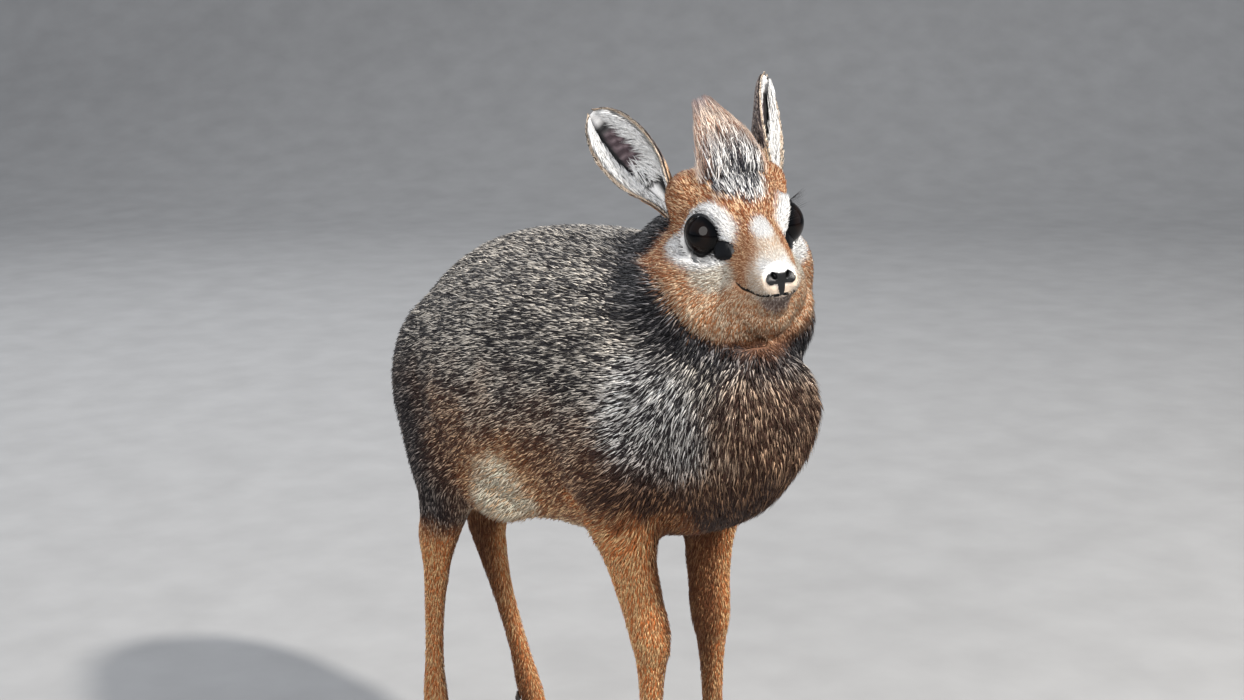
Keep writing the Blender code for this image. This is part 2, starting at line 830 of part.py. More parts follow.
def lock(turn, swirl, start, end, out, spread):
    """A flat, tapered lock that leaves the core, bends along the crest and ends in a point."""
    place = head_place()
    bm = bmesh.new()
    rings = []
    for share, lift, width, thickness in LOCK_PROFILE:
        along = start + (end - start) * share
        point, across, normal = crest_point(along, turn + swirl * share, out * lift)
        _, wide, deep = crest_station(along)
        across = across * max(2.2, spread * (wide + deep)) * width
        normal = normal * LOCK_THICKNESS * thickness
        ring = (point + across - normal, point + normal, point - across - normal)
        rings.append([place @ corner for corner in ring])
    add_rings(bm, rings)
    bmesh.ops.triangulate(bm, faces=bm.faces)
    return add_object("lock", bm)


def crest(head_solid):
    """The tuft between the ears: a low core with tiers of locks that overlap up to its tip."""
    chance = random.Random(CREST_SEED)
    bm = bmesh.new()
    add_tube(bm, CREST_CORE, sides=16, steps=3, place=head_place())
    core = add_object("crest", bm, "crest_coat")
    locks = []
    for tier, (count, start, end, out) in enumerate(CREST_TIERS):
        for i in range(count):
            turn = 2 * math.pi * (i + 0.5 * (tier % 2) + chance.uniform(-0.15, 0.15)) / count
            swirl = chance.uniform(-0.35, 0.35)
            reach = end + chance.uniform(-0.06, 0.06)
            spread = LOCK_WIDTH * math.pi / count * chance.uniform(0.85, 1.15)
            locks.append(lock(turn, swirl, start, reach, out * chance.uniform(0.95, 1.03), spread))
    combine(core, locks, "UNION")
    return clear_of(core, head_solid)


def to_metres(things):
    """Sets the animal over the origin, by its box, and turns millimetres into metres."""
    corners = [vertex.co for thing in things for vertex in thing.data.vertices]
    low = [min(corner[i] for corner in corners) for i in range(2)]
    high = [max(corner[i] for corner in corners) for i in range(2)]
    middle = Vector(((low[0] + high[0]) / 2, (low[1] + high[1]) / 2, 0))
    place = Matrix.Diagonal((MM, MM, MM, 1)) @ Matrix.Translation(-middle)
    for thing in things:
        thing.data.transform(place)
        thing.data.shade_smooth()
        thing.data.set_sharp_from_angle(angle=math.radians(50))


def build():
    clear_scene()
    flesh = fused("flesh", [add_trunk, add_neck, add_upper_legs, add_skull], 3.0, 14,
                  body_softness, BODY_TRIANGLES)
    fine_flesh = fused("fine_flesh", [add_neck, add_skull], 1.6, 26, head_softness,
                       HEAD_TRIANGLES)
    torso, neck, legs = part_trunk(flesh)
    head_solid = head(fine_flesh)
    bpy.data.objects.remove(flesh)
    bpy.data.objects.remove(fine_flesh)
    things = [torso, neck, head_solid, *legs.values(), tail(torso), crest(head_solid)]
    things += [ear(name, head_solid) for name in EARS]
    for side, word in ((-1, "right"), (1, "left")):
        things.append(eyeball(f"eye_{word}", side, EYE_RADIUS))
    for name, stations in LEGS.items():
        leg = lower_leg(name, stations)
        things.append(leg)
        for side, word in ((-1, "right"), (1, "left")):
            things.append(claw(f"{name}_claw_{word}", stations[-1], side))
            things.append(dewclaw(f"{name}_dewclaw_{word}", stations, side, leg))
    to_metres(things)


build()
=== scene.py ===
"""The looks of a standing dik-dik: one skin, a coat of solid tufts, eyes, lids, nose and hooves.

Lengths are in millimetres in the animal's own frame: it faces -Y, its left side is +X and the
floor is z = 0. to_scene() turns them into the scene's metres. The head has a frame of its own,
with its origin midway between the eyes, in which the mouth is level and faces -Y.
"""
import math

import bmesh
import bpy
import numpy as np
from mathutils import Matrix, Vector
from mathutils.bvhtree import BVHTree


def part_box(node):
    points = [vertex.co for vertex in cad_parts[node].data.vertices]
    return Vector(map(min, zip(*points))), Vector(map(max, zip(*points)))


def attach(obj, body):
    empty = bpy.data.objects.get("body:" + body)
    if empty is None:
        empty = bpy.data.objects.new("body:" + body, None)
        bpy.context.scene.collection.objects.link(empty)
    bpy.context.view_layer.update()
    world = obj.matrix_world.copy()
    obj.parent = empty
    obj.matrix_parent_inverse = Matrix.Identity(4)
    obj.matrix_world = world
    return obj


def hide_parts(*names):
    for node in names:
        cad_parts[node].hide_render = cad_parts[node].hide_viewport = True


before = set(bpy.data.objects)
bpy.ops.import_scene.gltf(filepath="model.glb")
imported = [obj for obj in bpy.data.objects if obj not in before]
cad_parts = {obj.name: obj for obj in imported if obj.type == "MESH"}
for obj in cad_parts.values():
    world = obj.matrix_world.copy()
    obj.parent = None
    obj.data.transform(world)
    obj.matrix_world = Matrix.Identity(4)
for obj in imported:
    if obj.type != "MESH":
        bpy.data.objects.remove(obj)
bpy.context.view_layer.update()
CHANCE = np.random.default_rng(7)

# The head's place, as in the solids' source.
HEAD_TURN, HEAD_NOD, HEAD_TILT = (math.radians(angle) for angle in (-22, 5, -6))
EYE_LINE = np.array((7.0, -150.0, 382.0))
EYE_CENTRE = np.array((20.2, 6.0, -2.4))
EYE_FACING = np.array((0.86, -0.50, 0.10)) / np.linalg.norm((0.86, -0.50, 0.10))
EYE_RADIUS = 12.8
LEG_NAMES = ("foreleg_right", "foreleg_left", "hindleg_right", "hindleg_left")
HEAD_AXES = np.array(Matrix.Rotation(HEAD_TURN, 3, "Z") @ Matrix.Rotation(HEAD_NOD, 3, "X")
                     @ Matrix.Rotation(HEAD_TILT, 3, "Y"))


def from_head(points):
    return np.asarray(points, float) @ HEAD_AXES.T + EYE_LINE


def to_head(points):
    return (np.asarray(points, float) - EYE_LINE) @ HEAD_AXES


def eye_middle(name):
    low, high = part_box(name)
    return (np.array(low) + np.array(high)) * 500


def solids_shift():
    """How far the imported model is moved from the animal's own frame, found from its eyes."""
    middle = (eye_middle("eye_right") + eye_middle("eye_left")) / 2
    return middle - from_head((0, EYE_CENTRE[1], EYE_CENTRE[2]))


SHIFT = solids_shift()


def to_scene(points):
    return (np.asarray(points, float) + SHIFT) * 0.001


def from_scene(points):
    return np.asarray(points, float) * 1000 - SHIFT


def unit(vectors):
    vectors = np.asarray(vectors, float)
    return vectors / np.maximum(np.linalg.norm(vectors, axis=-1, keepdims=True), 1e-9)


def step(low, high, value):
    """0 below low, 1 above high and smooth between. With high under low it falls instead."""
    share = np.clip((value - low) / (high - low), 0, 1)
    return share * share * (3 - 2 * share)


def between(first, second, share):
    """What lies at a share of the way from the first to the second."""
    return first + (second - first) * share


def linear(red, green, blue):
    """A display colour of 0 to 255 as linear light."""
    shown = np.array((red, green, blue)) / 255
    return np.where(shown <= 0.04045, shown / 12.92, ((shown + 0.055) / 1.055) ** 2.4)


def lattice(cells, seed):
    """A fixed random value from 0 to 1 for each whole-numbered cell."""
    mixed = cells[..., 0] * 73856093 ^ cells[..., 1] * 19349663 ^ cells[..., 2] * 83492791
    mixed = (mixed ^ (seed * 2654435761)) & 0xFFFFFFFF
    mixed = ((mixed ^ (mixed >> 15)) * 2246822519) & 0xFFFFFFFF
    mixed = ((mixed ^ (mixed >> 13)) * 3266489917) & 0xFFFFFFFF
    return ((mixed ^ (mixed >> 16)) & 0xFFFFFFFF) / 4294967295


def blotches(points, size, seed=0):
    """Smooth noise from 0 to 1 whose blotches are about the given size."""
    spots = np.asarray(points, float) / size + 1000
    low = np.floor(spots).astype(np.int64)
    share = spots - low
    share = share * share * (3 - 2 * share)
    total = np.zeros(len(spots))
    for corner in range(8):
        offset = np.array((corner & 1, corner >> 1 & 1, corner >> 2))
        weight = np.prod(np.where(offset, share, 1 - share), axis=1)
        total += weight * lattice(low + offset, seed)
    return total


# Building meshes from arrays, in millimetres of the animal's frame.


def new_mesh(name, points, faces, colours=None, uvs=None):
    """An object from points, faces of equally many corners, and maybe colours and a UV map."""
    faces = np.asarray(faces, np.int32)
    mesh = bpy.data.meshes.new(name)
    mesh.vertices.add(len(points))
    mesh.vertices.foreach_set("co", to_scene(points).astype(np.float32).ravel())
    mesh.loops.add(faces.size)
    mesh.loops.foreach_set("vertex_index", faces.ravel())
    mesh.polygons.add(len(faces))
    mesh.polygons.foreach_set("loop_start", np.arange(0, faces.size, faces.shape[1], dtype=np.int32))
    mesh.update(calc_edges=True)
    mesh.shade_smooth()
    if colours is not None:
        paint(mesh, colours)
    if uvs is not None:
        layer = mesh.uv_layers.new(name="OFBake")
        layer.uv.foreach_set("vector", np.asarray(uvs, np.float32).ravel())
    made = bpy.data.objects.new(name, mesh)
    bpy.context.scene.collection.objects.link(made)
    return made


def paint(mesh, colours):
    """Stores linear colours on the mesh's points as the attribute tint."""
    layer = mesh.color_attributes.new(name="tint", type="FLOAT_COLOR", domain="POINT")
    whole = np.concatenate([colours, np.ones((len(colours), 1))], axis=1)
    layer.data.foreach_set("color", whole.astype(np.float32).ravel())


def grid_faces(rows, columns, closed=False):
    """The four-cornered faces of a grid of points, closed round its columns or not."""
    across = np.arange(columns if closed else columns - 1)
    next_one = (across + 1) % columns
    start = (np.arange(rows - 1) * columns)[:, None]
    corners = (start + across, start + next_one, start + columns + next_one, start + columns + across)
    return np.stack(corners, axis=-1).reshape(-1, 4)


def finish_piece(piece, material, slot, *nodes):
    """Gives the piece its material and its ride on the model, and hides the solids that it stands for."""
    piece.data.materials.clear()
    piece.data.materials.append(material)
    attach(piece, "root")
    if nodes:
        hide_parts(*nodes)


# Materials.

LEATHER_GRAIN = 0.9


def new_material(name, roughness, specular=0.5):
    made = bpy.data.materials.new(name)
    made.use_nodes = True
    shader = made.node_tree.nodes["Principled BSDF"]
    shader.inputs["Roughness"].default_value = roughness
    shader.inputs["Specular IOR Level"].default_value = specular
    return made, made.node_tree, shader


def spot_on_model(tree):
    return tree.nodes.new("ShaderNodeTexCoord").outputs["Object"]


def add_noise(tree, size):
    """Noise whose grain is about the given size in millimetres, fixed to the model."""
    noise = tree.nodes.new("ShaderNodeTexNoise")
    noise.inputs["Scale"].default_value = 1000 / size
    noise.inputs["Detail"].default_value = 3.0
    tree.links.new(spot_on_model(tree), noise.inputs["Vector"])
    return noise.outputs["Fac"]


def add_ramp(tree, value, stops):
    ramp = tree.nodes.new("ShaderNodeValToRGB")
    tree.links.new(value, ramp.inputs["Fac"])
    while len(ramp.color_ramp.elements) < len(stops):
        ramp.color_ramp.elements.new(0.5)
    for element, (place, colour) in zip(ramp.color_ramp.elements, stops):
        element.position = place
        element.color = (*colour, 1)
    return ramp.outputs["Color"]


def add_tone(tree, shader, size, dark, light, high=0.75):
    """A colour that wanders between a dark and a light one in blotches of the given size."""
    tone = add_ramp(tree, add_noise(tree, size), ((0.3, dark), (high, light)))
    tree.links.new(tone, shader.inputs["Base Color"])


def add_tint(tree, shader, grain, darkest):
    """The colours that the mesh carries, broken by a fine grain in tone."""
    tint = tree.nodes.new("ShaderNodeAttribute")
    tint.attribute_name = "tint"
    mix = tree.nodes.new("ShaderNodeMix")
    mix.data_type = "RGBA"
    mix.blend_type = "MULTIPLY"
    mix.inputs["Factor"].default_value = 1.0
    speckle = add_ramp(tree, add_noise(tree, grain), ((0.3, grey(darkest)), (0.7, grey(1.0))))
    tree.links.new(tint.outputs["Color"], mix.inputs["A"])
    tree.links.new(speckle, mix.inputs["B"])
    tree.links.new(mix.outputs["Result"], shader.inputs["Base Color"])


def add_bump(tree, shader, height, strength, distance):
    bump = tree.nodes.new("ShaderNodeBump")
    bump.inputs["Strength"].default_value = strength
    bump.inputs["Distance"].default_value = distance * 0.001
    tree.links.new(height, bump.inputs["Height"])
    tree.links.new(bump.outputs["Normal"], shader.inputs["Normal"])


def grey(value):
    return (value, value, value)


def tinted_material(name, roughness, grain, bump_depth, specular=0.3):
    """Hair or skin in the markings' own colours, with a fine grain in tone and in relief."""
    made, tree, shader = new_material(name, roughness, specular)
    add_tint(tree, shader, grain, 0.72)
    add_bump(tree, shader, add_noise(tree, grain * 0.5), 0.6, bump_depth)
    return made


def horn_material():
    """Dark horn, worn paler in places, with growth rings across it."""
    made, tree, shader = new_material("horn_satin", 0.42)
    rings = tree.nodes.new("ShaderNodeTexWave")
    rings.bands_direction = "Z"
    rings.inputs["Scale"].default_value = 260
    rings.inputs["Distortion"].default_value = 3.0
    tree.links.new(spot_on_model(tree), rings.inputs["Vector"])
    add_tone(tree, shader, 4.0, linear(34, 29, 27), linear(78, 66, 58))
    add_bump(tree, shader, rings.outputs["Fac"], 0.4, 0.25)
    return made


def leather_material():
    """Bare wet black skin with a pebbled surface."""
    made, tree, shader = new_material("wet_leather", 0.24, 0.25)
    add_tone(tree, shader, LEATHER_GRAIN * 3, linear(3, 3, 4), linear(8, 7, 8))
    cells = tree.nodes.new("ShaderNodeTexVoronoi")
    cells.inputs["Scale"].default_value = 1000 / LEATHER_GRAIN
    tree.links.new(spot_on_model(tree), cells.inputs["Vector"])
    add_bump(tree, shader, cells.outputs["Distance"], 0.3, 0.12)
    return made


def eye_material():
    """A near-black glossy eye, a little browner outside its long pupil."""
    made, tree, shader = new_material("eye_gloss", 0.03, 0.38)
    shader.inputs["IOR"].default_value = 1.3
    add_tint(tree, shader, 0.8, 0.6)
    return made


def floor_material():
    made, tree, shader = new_material("pale_floor", 0.8, 0.2)
    add_tone(tree, shader, 60.0, grey(0.25), grey(0.28), 0.7)
    return made


# Where a point of the coat lies.

GLAND = np.array((19.8, -12.0, -7.5))
EYES = {-1: EYE_CENTRE * (-1, 1, 1), 1: EYE_CENTRE}
# The middle line of each leg, from the trunk down to the hoof.
LEG_LINES = {
    "foreleg_right": ((-38, -98, 262), (-35, -101, 200), (-29, -114, 147), (-28, -113, 68), (-28, -124, 13)),
    "foreleg_left": ((34, -98, 262), (29, -96, 200), (24, -104, 147), (27, -104, 68), (27, -115, 13)),
    "hindleg_right": ((-32, 80, 270), (-35, 79, 200), (-33, 95, 146), (-35, 98, 70), (-35, 88, 13)),
    "hindleg_left": ((32, 80, 270), (24, 92, 200), (18, 111, 146), (26, 89, 70), (31, 68, 13)),
}


def leg_offset(points):
    """The way from the nearest leg's line to each point, level with it, and how far that is."""
    nearest = np.full(len(points), 1e9)
    found = np.zeros((len(points), 2))
    for line in LEG_LINES.values():
        line = np.array(sorted(line, key=lambda spot: spot[2]), float)
        middle = np.stack([np.interp(points[:, 2], line[:, 2], line[:, i]) for i in (0, 1)], axis=1)
        offset = points[:, :2] - middle
        distance = np.linalg.norm(offset, axis=1)
        closer = distance < nearest
        nearest[closer] = distance[closer]
        found[closer] = offset[closer]
    return found, nearest


def face_share(points):
    """1 on the face and jaw, and 0 behind the cheeks and on the throat."""
    local = to_head(points)
    around = np.hypot(local[:, 0] / 50, (local[:, 2] + 13) / 47)
    high = 15 * step(-4, 12, local[:, 2])
    behind = step(35, 24, local[:, 1] + 0.18 * local[:, 2] - high)
    return behind * step(1.08, 0.93, around)


def leg_share(points):
    """1 on the legs below the elbow and the stifle, and 0 on the trunk."""
    _, distance = leg_offset(points)
    low = step(214, 188, points[:, 2])
    return low * step(46, 30, distance)


def eye_axes(side):
    """The way an eye faces, and the ways to the face's front and up as the eye has them."""
    facing = EYE_FACING * (side, 1, 1)
    up = unit(np.array((0, 0, 1.0)) - facing * facing[2])
    return facing, np.cross(up, facing) * -side, up


def eye_view(local, side):
    """Each point as the eye on a side sees it: its angle off the eye's axis and its turn."""
    facing, front, up = eye_axes(side)
    way = local - EYES[side]
    reach = np.linalg.norm(way, axis=1)
    along, right, high = way @ facing, way @ front, way @ up
    return np.arccos(np.clip(along / np.maximum(reach, 1e-6), -1, 1)), np.arctan2(high, right), reach


def lid_angle(turn):
    """How far the lids open from the eye's middle: an almond with a pointed front corner."""
    corner = np.maximum(0, np.cos(turn)) ** 6
    return math.radians(57) * (1 + 0.02 * np.cos(turn) ** 2 + 0.15 * corner)


# The markings: the dark and the pale colour of the hairs at a point, and the share of pale ones.
# A patch is its middle and its half sizes, on the body in the animal's frame.

SHOULDER_PATCH = ((50, -140, 282), (30, 44, 50))
BRISKET_PATCH = ((6, -108, 190), (26, 26, 20))
GROIN_MIDDLE, GROIN_SLOPE = (46, -6, 214), 0.35
GROIN_EDGE, GROIN_PATCH = ((0, 0, 6), (30, 46, 60)), ((0, 2, 0), (26, 32, 46))

# On the face a patch lies in the head's frame.

CHEEK_PATCH = ((25, -13, -19), (15, 16, 11))
NOSE_PATCH = ((0, -40, -12), (11.5, 14, 12))
BRIDGE_SHADE = ((0, -29, -3), (8.5, 17, 13))
BRIDGE_PATCH = ((-0.5, -23.5, 4), (6.8, 10.5, 9))
# Painted shade under the mouth, on the chin.
CHIN_SHADE_PATCH = ((0, -41, -30.5), (15, 11, 6))
GLAND_MARGIN, BARE_GLAND = (8.0, 7.6, 6.0), (6.5, 5.6, 4.6)


def blend(under, over, weight):
    """Lays one (dark, pale, share) over another by a weight for each point."""
    column = np.asarray(weight, float)[:, None]
    dark, pale = between(under[0], over[0], column), between(under[1], over[1], column)
    return dark, pale, between(under[2], over[2], weight)


def lay(marks, *layers):
    """Lays each (marking, weight) over all that come before it."""
    for over, weight in layers:
        marks = blend(marks, over, weight)
    return marks


def everywhere(marks, count):
    """One kind of marking at each of so many points."""
    return np.tile(marks[0], (count, 1)), np.tile(marks[1], (count, 1)), np.full(count, marks[2])


def one_tone(marks, amount):
    """The hairs of each point as one colour, with so much of the pale ones' share."""
    return between(marks[0], marks[1], (marks[2] * amount)[:, None])


def hairs(dark, pale, share):
    return linear(*dark), linear(*pale), share


GRIZZLE = hairs((44, 40, 42), (240, 230, 216), 0.43)
BROWN_GRIZZLE = hairs((100, 58, 34), (236, 190, 146), 0.4)
DARK_GRIZZLE = hairs((28, 26, 30), (160, 152, 148), 0.3)
# Dark neck fur, with painted shade behind the cheeks.
NECK_SHADE = hairs((16, 16, 22), (120, 118, 124), 0.22)
SHOULDER = hairs((40, 36, 40), (255, 252, 248), 0.56)
CHEST_LOW = hairs((50, 30, 22), (140, 98, 70), 0.3)
# Painted shade: darker brown hairs on the inner side of each leg, between the legs.
SHADED_LEG_INNER = hairs((84, 46, 24), (146, 92, 56), 0.42)
FETLOCK = hairs((84, 48, 28), (150, 98, 64), 0.4)
CHEST = hairs((82, 52, 36), (206, 164, 128), 0.38)
LEG = hairs((224, 134, 72), (255, 208, 150), 0.6)
FLANK_EDGE = hairs((160, 96, 52), (238, 194, 146), 0.5)
PALE_BELLY = hairs((240, 202, 160), (255, 240, 214), 0.75)
FACE = hairs((160, 94, 52), (240, 200, 158), 0.48)
JAW = hairs((196, 134, 88), (248, 222, 190), 0.55)
CHEEK = hairs((166, 148, 128), (240, 232, 216), 0.6)
MUZZLE = hairs((214, 186, 158), (246, 236, 222), 0.6)
WHITE = hairs((236, 234, 232), (255, 255, 254), 0.75)
INKY = hairs((8, 8, 10), (22, 20, 22), 0.3)
FOREHEAD = hairs((30, 30, 40), (248, 246, 244), 0.58)
# Grey hairs that paint the shade under the mouth.
CHIN_SHADE = hairs((104, 92, 90), (166, 152, 146), 0.5)
# Russet throat hairs, darkened with painted shade under the jaw.
SHADED_THROAT = hairs((84, 44, 24), (156, 98, 60), 0.42)
CROWN = hairs((110, 76, 56), (206, 170, 140), 0.4)
CREST_HAIR = hairs((188, 140, 114), (250, 228, 206), 0.5)
CREST_TIP = hairs((70, 54, 72), (160, 130, 136), 0.35)


def bump(points, centre, radii):
    """1 at the centre of an ellipsoid, falling smoothly to 0 at its surface."""
    reach = np.linalg.norm((points - centre) / radii, axis=1)
    return step(1.0, 0.55, reach)


def body_marks(points):
    """The trunk: salt-and-pepper above, browner below, pale under the belly and in the groin."""
    x, y, z = points.T
    far = np.abs(x)
    ragged = (blotches(points, 14, 1) - 0.5) * 26
    edge = step(236, 210, z + ragged * 0.5) * step(50, 24, y) * step(-112, -96, y)
    rear = step(34, 78, y + ragged * 0.5) * step(158, 182, z) * step(310, 255, z)
    under = step(206, 190, z) * step(84, 60, np.abs(y + 14)) * step(40, 26, far)
    back = y - GROIN_MIDDLE[1] + (z - GROIN_MIDDLE[2]) * GROIN_SLOPE + ragged * 0.5
    groin = np.stack([far - GROIN_MIDDLE[0], back, z - 212 + ragged * 0.7], axis=1)
    return lay(
        everywhere(GRIZZLE, len(points)),
        (BROWN_GRIZZLE, 0.92 * step(302, 236, z + ragged)),
        (SHOULDER, 0.85 * bump(np.stack([far, y, z], axis=1), *SHOULDER_PATCH)),
        (CHEST, 0.8 * step(-158, -184, y + ragged * 0.4) * step(330, 300, z)),
        (CHEST_LOW, 0.85 * step(272, 236, z + ragged * 0.5) * step(-76, -116, y)),
        (FLANK_EDGE, 0.85 * edge),
        (DARK_GRIZZLE, 0.92 * rear),
        (PALE_BELLY, under),
        (FLANK_EDGE, 0.8 * bump(groin, *GROIN_EDGE)),
        (PALE_BELLY, bump(groin, *GROIN_PATCH)),
        (PALE_BELLY, bump(points, *BRISKET_PATCH)))


def leg_marks(points, marks):
    x, y, z = points.T
    ragged = (blotches(points, 10, 2) - 0.5) * 16
    fore = step(-20, -40, y)
    top = between(228, 174, 1 - fore)
    share = step(top + 8, top - 22, z + ragged)
    offset, distance = leg_offset(points)
    share = share * step(48, 34, distance)
    marks = blend(marks, LEG, share)
    # The inner side of each leg is darkened with painted shade.
    marks = blend(marks, SHADED_LEG_INNER, share * 0.85 * step(-2, 7, -offset[:, 0] * np.sign(x)))
    return blend(marks, FETLOCK, 0.7 * step(26, 15, z))


def eye_marks(local, marks):
    """The white ring, widest above the eye, and the black margin and tear gland."""
    for side in (-1, 1):
        angle, turn, reach = eye_view(local, side)
        edge = lid_angle(turn)
        width = 0.14 + 0.22 * step(-0.1, 0.7, np.sin(turn + 0.45)) + 0.18 * step(0.1, 0.8, -np.sin(turn))
        near = step(26, 20, reach)
        rim = step(16.5, 15, reach)
        marks = blend(marks, WHITE, near * step(edge + width + 0.16, edge + width - 0.04, angle))
        marks = blend(marks, INKY, rim * step(edge + 0.08, edge + 0.03, angle))
        gland = local - GLAND * (side, 1, 1)
        marks = blend(marks, INKY, step(1.0, 0.8, np.linalg.norm(gland / GLAND_MARGIN, axis=1)))
    return marks


def face_marks(local):
    """The face: russet, with pale cheeks, a white muzzle and bridge and a streaked forehead, and painted
    shade under the mouth and on the throat.
    """
    x, y, z = local.T
    ragged = (blotches(local, 6, 3) - 0.5) * 9
    patch = step(15, 10, np.abs(x + 1) + ragged * 0.7) * step(11, 16, z + ragged * 0.5) * step(36, 28, y)
    marks = lay(
        everywhere(FACE, len(local)),
        (JAW, step(-14, -34, z + ragged) * step(-52, -40, y)),
        # The throat under the jaw: russet hair with painted shade.
        (SHADED_THROAT, 0.85 * step(-46, -57, z + ragged)),
        (CHEEK, bump(np.stack([np.abs(x), y, z], axis=1), *CHEEK_PATCH)),
        (MUZZLE, step(-27, -36, y + ragged * 0.3) * step(-32, -26, z)),
        (WHITE, bump(local, *NOSE_PATCH)),
        (MUZZLE, 0.7 * bump(local, *BRIDGE_SHADE)),
        (WHITE, bump(local, *BRIDGE_PATCH)),
        # Painted shade under the mouth.
        (CHIN_SHADE, 0.85 * bump(local, *CHIN_SHADE_PATCH)),
        (FOREHEAD, patch),
        (CROWN, step(30, 44, y + ragged * 0.5) * step(-14, 2, z)))
    return eye_marks(local, marks)


def markings(points):
    """The markings of skin and coat alike, at points of the animal's frame."""
    marks = leg_marks(points, body_marks(points))
    local = to_head(points)
    close = np.linalg.norm(local - (0, 8, -14), axis=1)
    # Behind the cheeks, the neck's dark fur is darkened further with painted shade.
    marks = blend(marks, NECK_SHADE, 0.85 * step(84, 62, close) * step(300, 322, points[:, 2]))
    return blend(marks, face_marks(local), face_share(points))


# The skin.

FLESH = ("torso", "neck", "head", "tail", "eye_right", "eye_left",
         *(f"{leg}_{part}" for leg in LEG_NAMES for part in ("upper", "lower")))
SKIN_GRAIN, FLESH_GROWTH = 1.9, 0.25
UNDERCOAT_PALE, UNDERCOAT_TONE = 0.6, 0.7
TRUNK_COAT, LEG_COAT, FACE_COAT, MUZZLE_COAT = 4.2, 2.2, 1.7, 0.9


def read_all(items, field, width, kind=float):
    values = np.zeros(len(items) * width, kind)
    items.foreach_get(field, values)
    return values.reshape(-1, width)


def mesh_arrays(thing):
    """A piece's points, normals and triangles, in millimetres of the animal's frame."""
    mesh = thing.data
    mesh.calc_loop_triangles()
    faces = read_all(mesh.loop_triangles, "vertices", 3, np.int32)
    return from_scene(read_all(mesh.vertices, "co", 3)), read_all(mesh.vertex_normals, "vector", 3), faces


def remesh(thing, grain, rounds):
    """Makes the piece one closed surface of an even grain in millimetres, and smooths it."""
    fuse = thing.modifiers.new("fuse", "REMESH")
    fuse.mode = "VOXEL"
    fuse.voxel_size = grain * 0.001
    smooth = thing.modifiers.new("smooth", "SMOOTH")
    smooth.factor = 0.5
    smooth.iterations = rounds
    bpy.context.view_layer.update()
    graph = bpy.context.evaluated_depsgraph_get()
    mesh = bpy.data.meshes.new_from_object(thing.evaluated_get(graph))
    thing.modifiers.clear()
    thing.data = mesh


def set_points(piece, points):
    piece.data.vertices.foreach_set("co", to_scene(points).astype(np.float32).ravel())
    piece.data.update()
    piece.data.shade_smooth()


def flesh_solid():
    """All the flesh as one smooth closed surface, out to the tips of the coat."""
    points, faces, count = [], [], 0
    for name in FLESH:
        corners, normals, triangles = mesh_arrays(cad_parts[name])
        points.append(corners + normals * FLESH_GROWTH)
        faces.append(triangles + count)
        count += len(corners)
    thing = new_mesh("skin", np.concatenate(points), np.concatenate(faces))
    remesh(thing, SKIN_GRAIN, 6)
    return thing


def coat_depth(points):
    """How far the skin lies under the tips of the coat."""
    local = to_head(points)
    face = face_share(points)
    muzzle = step(2, -30, local[:, 1]) * face
    jaw = step(-20, -42, local[:, 2]) * face
    leg = step(205, 150, points[:, 2])
    depth = between(TRUNK_COAT, LEG_COAT, leg)
    depth = between(depth, FACE_COAT, face)
    depth = between(depth, MUZZLE_COAT, muzzle)
    under_nose = 2.4 * step(9.0, 6.5, np.linalg.norm(local - (0, -43.5, -17), axis=1))
    return depth + 1.3 * jaw * (1 - 0.6 * muzzle) - 0.9 * step(30, 15, points[:, 2]) + under_nose


def skin():
    thing = flesh_solid()
    points, normals, _ = mesh_arrays(thing)
    points = points - normals * coat_depth(points)[:, None]
    set_points(thing, points)
    paint(thing.data, one_tone(markings(points), UNDERCOAT_PALE) * UNDERCOAT_TONE)
    solids = (name for name in FLESH if not name.startswith("eye"))
    finish_piece(thing, tinted_material("short_coat", 0.75, 0.5, 0.35), "grizzled_coat", *solids)
    return thing


# The lie of the coat.


def flow(points):
    """The way in which the hairs lie at each point, before it is laid along the skin."""
    x, y, z = points.T
    low = step(330, 215, z)
    front = step(-110, -165, y)
    back = step(95, 140, y)
    leg = leg_share(points)
    way = np.stack([np.zeros_like(x), np.ones_like(x), -0.15 - 0.55 * low], axis=1)
    way += (np.array((0, -0.75, -0.9)) * np.maximum(front, 0)[:, None])
    way += (np.array((0, -0.7, -0.8)) * back[:, None])
    way[:, 0] -= 0.25 * np.sign(x) * low * front
    way = unit(way) * (1 - leg)[:, None] + np.array((0, 0.12, -1.0)) * leg[:, None]
    local = to_head(points)
    face = face_share(points)[:, None]
    return unit(way) * (1 - face) + face_flow(local) @ HEAD_AXES.T * face


def face_flow(local):
    """Back from the nose over the face, down over the cheeks and up to the crest."""
    nose = np.array((0, -50, -13.0))
    way = unit(local - nose)
    low = step(-8, -34, local[:, 2])[:, None]
    way = way + np.array((0, 0, -0.75)) * low
    crown = step(4, 16, local[:, 2]) * step(22, 8, np.abs(local[:, 0]))
    return unit(way + np.array((0, 0.2, 0.5)) * crown[:, None])


def along_skin(ways, normals):
    return unit(ways - normals * np.sum(ways * normals, axis=1)[:, None])


